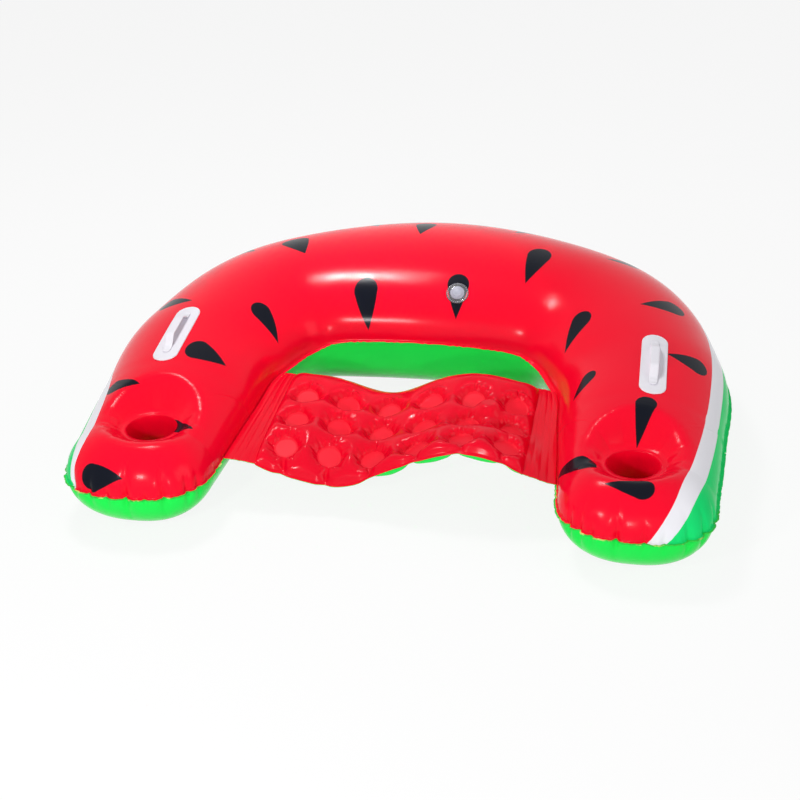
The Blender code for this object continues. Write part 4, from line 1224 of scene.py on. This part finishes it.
def build_patch(tube, handle, side, middle_x):
    """The patch with round ends: a grid that follows the arm, with a pressed groove inside its rim."""
    columns, rows = 24, 72
    bm, places = make_grid(columns, rows)
    radius = handle.width / 2
    straight = handle.length / 2 - radius
    turn = 2.0 * places[:, 1] / rows - 1
    along = np.sign(turn) * handle.length / 2 * np.sin(np.abs(turn) * math.pi / 2)
    beyond = np.maximum(np.abs(along) - straight, 0)
    half = np.sqrt(np.maximum(radius ** 2 - beyond ** 2, 0))
    across = np.sin((2.0 * places[:, 0] / columns - 1) * math.pi / 2)
    x, y = middle_x + half * across, handle.place + along
    to_rim = radius - np.hypot(x - middle_x, beyond)
    level = patch_level(tube, x, y)
    groove = np.exp(-((to_rim - 0.0035) / 0.0008) ** 2) * 0.0005
    edge = 1 - np.sqrt(np.clip(1 - (1 - np.clip(to_rim / 0.0012, 0, 1)) ** 2, 0, 1))
    top = level + handle.thickness - groove - edge * (handle.thickness * 0.75)
    move_to(bm, np.column_stack((x * side, y, top)))
    bmesh.ops.remove_doubles(bm, verts=bm.verts, dist=EDGE_MARGIN)
    turn_outwards(bm, True)
    # Close the underside with a rim that drops to the film
    rim = [edge for edge in bm.edges if edge.is_boundary]
    down = bmesh.ops.extrude_edge_only(bm, edges=rim)["geom"]
    skirt = [item for item in down if isinstance(item, bmesh.types.BMVert)]
    skirt_x = np.array([v.co.x * side for v in skirt])
    skirt_y = np.array([v.co.y for v in skirt])
    for vertex, height in zip(skirt, patch_level(tube, skirt_x, skirt_y)):
        vertex.co.z = height
    return bm


def build_strap(tube, handle, side, middle_x):
    """The strap: a rounded section swept along a line that climbs from one foot and lands on the other."""
    foot = handle.strap_length / 2 - handle.foot / 2
    lateral = handle.strap_width / 2
    ys = np.array((handle.place - foot, handle.place + foot))
    front_z, rear_z = patch_level(tube, np.full(2, middle_x), ys)
    left_z, right_z = patch_level(tube, np.array((middle_x - lateral, middle_x + lateral)),
                                  np.full(2, handle.place))
    front, rear = Vector((middle_x, ys[0], front_z)), Vector((middle_x, ys[1], rear_z))
    along = (rear - front).normalized()
    across = Vector((2 * lateral, 0, right_z - left_z)).normalized()
    up = across.cross(along).normalized()
    origin = (front + rear) / 2 + up * (handle.thickness + GAP)

    steps, around = 96, 24
    bm, places = make_grid(steps, around)
    half = handle.strap_length / 2
    turn = 2.0 * places[:, 0] / steps - 1
    run = np.sign(turn) * half * np.sin(np.abs(turn) * math.pi / 2) ** 0.85
    climb = handle.finger_height * ease((half - handle.foot - np.abs(run)) / handle.rise_length)
    end = np.maximum(np.abs(run) - (half - lateral), 0) / lateral
    round_end = np.sqrt(np.maximum(1 - end ** 2, 0))
    angle = 2 * math.pi * places[:, 1] / around
    # A section close to a rounded rectangle
    bulge = 4.0
    c, s = np.cos(angle), np.sin(angle)
    size = (np.abs(c) ** bulge + np.abs(s) ** bulge) ** (-1 / bulge)
    thick = handle.strap_thickness / 2
    foot_part = 1 - ease((half - handle.foot - np.abs(run)) / 0.004 + 0.5)
    dimple = foot_part * np.exp(-((np.abs(run) - foot) / 0.0035) ** 2) * 0.0009
    offset = lateral * round_end * size * c
    height = climb + thick + thick * size * s * (0.35 + 0.65 * round_end) - dimple * (s > 0.2)
    frame_axes = np.array((along, across, up))
    points = np.array(origin) + np.column_stack((run, offset, height)) @ frame_axes
    points[:, 0] *= side
    move_to(bm, points)
    bmesh.ops.remove_doubles(bm, verts=bm.verts, dist=EDGE_MARGIN)
    bmesh.ops.recalc_face_normals(bm, faces=bm.faces)
    return bm


class RING_OT_handles(Operator):
    """Put a patch and a strap on each arm"""
    bl_idname = "lounge_ring.handles"
    bl_label = "Grab handles"

    def execute(self, context):
        scene = context.scene
        handle = scene.ring_handle
        tube = Tube(scene.ring_tube, scene.ring_well)
        white = handle_vinyl(scene.ring_looks)
        share = tube.nearest(np.array([(scene.ring_tube.arm_spread, handle.place)]))[0]
        middle_x = float(tube.at(tube.line, share)[0, 0]) + handle.outset
        for label, side in (("left", -1), ("right", 1)):
            patch = finished(build_patch(tube, handle, side, middle_x), "patch_" + label, [white], "ring")
            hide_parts("handle_base_" + label)
            strap = finished(build_strap(tube, handle, side, middle_x), "strap_" + label, [white], "ring")
            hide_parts("handle_strap_" + label)
        return {"FINISHED"}


# Air valves

def valve_frame(prefix):
    """Frame of a valve: Z out of the film, X away from the stopper's hinge."""
    hinge = JOINTS[prefix + "_stopper_open"]
    z_axis = Vector(JOINTS[prefix + "_pull"]["axis"]).normalized()
    y_axis = -Vector(hinge["axis"]).normalized()
    x_axis = y_axis.cross(z_axis)
    turn = Matrix((x_axis, y_axis, z_axis)).transposed().to_4x4()
    sizes = bpy.context.scene.ring_valve
    origin = Vector(hinge["pos_m"]) + x_axis * sizes.hinge - z_axis * (sizes.crown + GAP + sizes.cap / 2)
    return Matrix.Translation(origin) @ turn


def build_valve(prefix, clear, cloudy):
    """Flange with an embossed rim, collar of the neck, and stopper on its strap."""
    sizes = bpy.context.scene.ring_valve
    place = valve_frame(prefix)
    top = sizes.flange_thickness
    bore = sizes.neck + 0.0004
    rim = sizes.flange
    bm = lathe([(bore, 0), (bore, top), (sizes.collar + 0.0006, top), (sizes.collar + 0.0012, top * 0.7),
                (rim - 0.0034, top * 0.7), (rim - 0.0028, top * 1.15), (rim - 0.0014, top * 1.3),
                (rim - 0.0004, top * 0.9), (rim, top * 0.4), (rim, 0)], 72)
    plain_faces = len(bm.faces)
    dots = round(2 * math.pi * rim / 0.0042)
    for i in range(dots):
        angle = 2 * math.pi * i / dots
        middle = Matrix.Translation(((rim - 0.0021) * math.cos(angle), (rim - 0.0021) * math.sin(angle),
                                     top * 1.2))
        bmesh.ops.create_uvsphere(bm, u_segments=8, v_segments=6, radius=0.0009,
                                  matrix=middle @ Matrix.Diagonal((1, 1, 0.7, 1)))
    bm.faces.index_update()
    # The dots are embossed on the clear flange, but they take the paler cloudy vinyl so that they show bright
    # over the dark seed beneath: a painted highlight along the rim
    for face in bm.faces:
        face.material_index = int(face.index >= plain_faces)
    bmesh.ops.transform(bm, matrix=place, verts=bm.verts)
    flange = finished(bm, prefix + "_clear_flange", [clear, cloudy], "ring")
    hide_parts(prefix + "_flange")

    foot, crown = top + GAP, sizes.crown
    bm = lathe([(sizes.bore, crown - 0.0004), (sizes.bore + 0.0004, crown), (sizes.collar - 0.0006, crown),
                (sizes.collar, crown - 0.0006), (sizes.collar, foot + 0.0003), (sizes.collar - 0.0003, foot),
                (sizes.neck, foot), (sizes.neck, sizes.lip - sizes.depth),
                (sizes.stop, sizes.lip - sizes.depth), (sizes.stop, -sizes.depth),
                (sizes.bore, -sizes.depth)], 48)
    bmesh.ops.transform(bm, matrix=place, verts=bm.verts)
    neck = finished(bm, prefix + "_neck_piece", [cloudy], prefix + "_neck")
    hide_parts(prefix + "_stem")

    # Stopper: domed cap with a pressed ring, tapered plug, strap and knuckle
    low = crown + GAP
    cap, radius = sizes.cap, sizes.cap_radius
    bm = lathe([(0, low + cap + 0.0004), (radius * 0.45, low + cap + 0.0002),
                (radius * 0.62, low + cap - 0.0003), (radius * 0.72, low + cap - 0.0003),
                (radius * 0.82, low + cap), (radius - 0.0004, low + cap),
                (radius, low + cap * 0.6), (radius, low + cap * 0.3), (radius - 0.0003, low),
                (0.0046, low), (0.0042, low - 0.0032), (0.0036, low - 0.004), (0, low - 0.004)], 48)
    reach = sizes.hinge
    start = radius * 0.5
    strap = Matrix.Translation(((-reach - start) / 2, 0, low + cap / 2)) @ Matrix.Diagonal(
        (reach - start, 0.004, cap * 0.9, 1))
    made = bmesh.ops.create_cube(bm, size=1, matrix=strap)
    edges = {edge for vert in made["verts"] for edge in vert.link_edges}
    bmesh.ops.bevel(bm, geom=list(edges), offset=0.0003, offset_type="OFFSET", segments=2, profile=0.5,
                    affect="EDGES", material=-1)
    bmesh.ops.create_cone(bm, cap_ends=True, segments=16, radius1=cap * 0.48, radius2=cap * 0.48, depth=0.004,
                          matrix=Matrix.Translation((-reach, 0, low + cap / 2))
                          @ Matrix.Rotation(math.pi / 2, 4, "X"))
    bmesh.ops.transform(bm, matrix=place, verts=bm.verts)
    stopper = finished(bm, prefix + "_cap_piece", [cloudy], prefix + "_plug")
    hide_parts(prefix + "_stopper")

    flap = frame["nodes"][prefix + "_flap"]
    flap.data.materials.clear()
    flap.data.materials.append(cloudy)


class RING_OT_valves(Operator):
    """Put the air valves on the back and under the seat"""
    bl_idname = "lounge_ring.valves"
    bl_label = "Air valves"

    def execute(self, context):
        looks = context.scene.ring_looks
        clear = clear_vinyl("clear_valve_vinyl", tuple(looks.clear_vinyl), 0.96)
        cloudy = clear_vinyl("cloudy_valve_vinyl", tuple(looks.valve), 0.25)
        for prefix in ("valve", "seat_valve"):
            build_valve(prefix, clear, cloudy)
        return {"FINISHED"}


# Studio

def seen_rays(tree):
    """1 for rays that show the white room, 0 for rays that only light the ring."""
    path = add_node(tree, "ShaderNodeLightPath")
    return math_node(tree, "MAXIMUM", path.outputs["Is Camera Ray"],
                     math_node(tree, "MAXIMUM", path.outputs["Is Glossy Ray"],
                               path.outputs["Is Transmission Ray"]))


def floor_material():
    look, tree, shader = new_material("floor")
    tree.nodes.remove(shader)
    grey = add_node(tree, "ShaderNodeBsdfDiffuse", {"Color": (FLOOR_WHITE, FLOOR_WHITE, FLOOR_WHITE, 1)})
    white = add_node(tree, "ShaderNodeEmission")
    share = math_node(tree, "MULTIPLY", seen_rays(tree), FLOOR_WHITE)
    mix = add_node(tree, "ShaderNodeMixShader", {0: share, 1: grey.outputs[0], 2: white.outputs[0]})
    plug(tree, tree.nodes["Material Output"], {"Surface": mix.outputs[0]})
    return look


def add_lamp(name, place, aim, size, watts, spread):
    data = bpy.data.lights.new(name, "AREA")
    data.shape = "RECTANGLE"
    data.size, data.size_y = size
    data.energy = watts
    data.spread = math.radians(spread)
    lamp = bpy.data.objects.new(name, data)
    bpy.context.scene.collection.objects.link(lamp)
    away = Vector(place) - Vector(aim)
    lamp.matrix_world = Matrix.Translation(place) @ away.to_track_quat("Z", "Y").to_matrix().to_4x4()


class RING_OT_studio(Operator):
    """Set up the floor, the lights and the camera"""
    bl_idname = "lounge_ring.studio"
    bl_label = "Studio"

    def execute(self, context):
        scene = context.scene
        bm = bmesh.new()
        bmesh.ops.create_grid(bm, x_segments=1, y_segments=1, size=FLOOR_HALF_SIZE)
        bmesh.ops.translate(bm, verts=bm.verts, vec=(0, 6, -0.0004))
        mesh = bpy.data.meshes.new("floor")
        bm.to_mesh(mesh)
        bm.free()
        floor = bpy.data.objects.new("floor", mesh)
        scene.collection.objects.link(floor)
        mesh.materials.append(floor_material())

        for lamp in LAMPS:
            add_lamp(*lamp)

        world = bpy.data.worlds.new("white_room")
        scene.world = world
        world.use_nodes = True
        tree = world.node_tree
        seen = math_node(tree, "MULTIPLY", seen_rays(tree), 1 - ROOM_LIGHT)
        plug(tree, tree.nodes["Background"], {"Color": (1, 1, 1, 1),
                                              "Strength": math_node(tree, "ADD", seen, ROOM_LIGHT)})

        lens = bpy.data.cameras.new("photo_camera")
        lens.lens = CAMERA_LENS_MM
        lens.sensor_width = CAMERA_SENSOR_MM
        lens.shift_x, lens.shift_y = camera_shift_shares
        lens.clip_end = CAMERA_RANGE
        camera = bpy.data.objects.new("photo_camera", lens)
        scene.collection.objects.link(camera)
        forward = Vector(CAMERA_FORWARD).normalized()
        right = Vector(CAMERA_RIGHT)
        right = (right - forward * right.dot(forward)).normalized()
        up = right.cross(forward)
        turn = Matrix((right, up, -forward)).transposed().to_4x4()
        camera.matrix_world = Matrix.Translation(CAMERA_PLACE) @ turn
        scene.camera = camera
        scene.view_settings.view_transform = "Standard"
        return {"FINISHED"}


class RING_PT_panel(Panel):
    """Lists the pieces and their settings"""
    bl_idname = "RING_PT_panel"
    bl_label = "Lounge ring"
    bl_space_type = "VIEW_3D"
    bl_region_type = "UI"
    bl_category = "Lounge ring"

    def draw(self, context):
        for name, settings in SETTINGS.items():
            box = self.layout.box()
            box.label(text=settings.__doc__)
            for key in settings.__annotations__:
                box.prop(getattr(context.scene, name), key)
        for operator in OPERATORS:
            self.layout.operator(operator.bl_idname)


SETTINGS = {"ring_tube": TubeSettings, "ring_well": WellSettings, "ring_seat": SeatSettings,
            "ring_handle": HandleSettings, "ring_valve": ValveSettings, "ring_looks": LookSettings}
OPERATORS = (RING_OT_tube, RING_OT_wells, RING_OT_seat, RING_OT_handles, RING_OT_valves, RING_OT_studio)


def register():
    for group in SETTINGS.values():
        bpy.utils.register_class(group)
    for operator in OPERATORS:
        bpy.utils.register_class(operator)
    bpy.utils.register_class(RING_PT_panel)
    for name, group in SETTINGS.items():
        setattr(bpy.types.Scene, name, PointerProperty(type=group))


def unregister():
    for name in SETTINGS:
        delattr(bpy.types.Scene, name)
    bpy.utils.unregister_class(RING_PT_panel)
    for operator in reversed(OPERATORS):
        bpy.utils.unregister_class(operator)
    for group in reversed(list(SETTINGS.values())):
        bpy.utils.unregister_class(group)


def main():
    register()
    bpy.ops.lounge_ring.tube()
    bpy.ops.lounge_ring.wells()
    bpy.ops.lounge_ring.seat()
    bpy.ops.lounge_ring.handles()
    bpy.ops.lounge_ring.valves()
    bpy.ops.lounge_ring.studio()


if __name__ == "__main__":
    main()
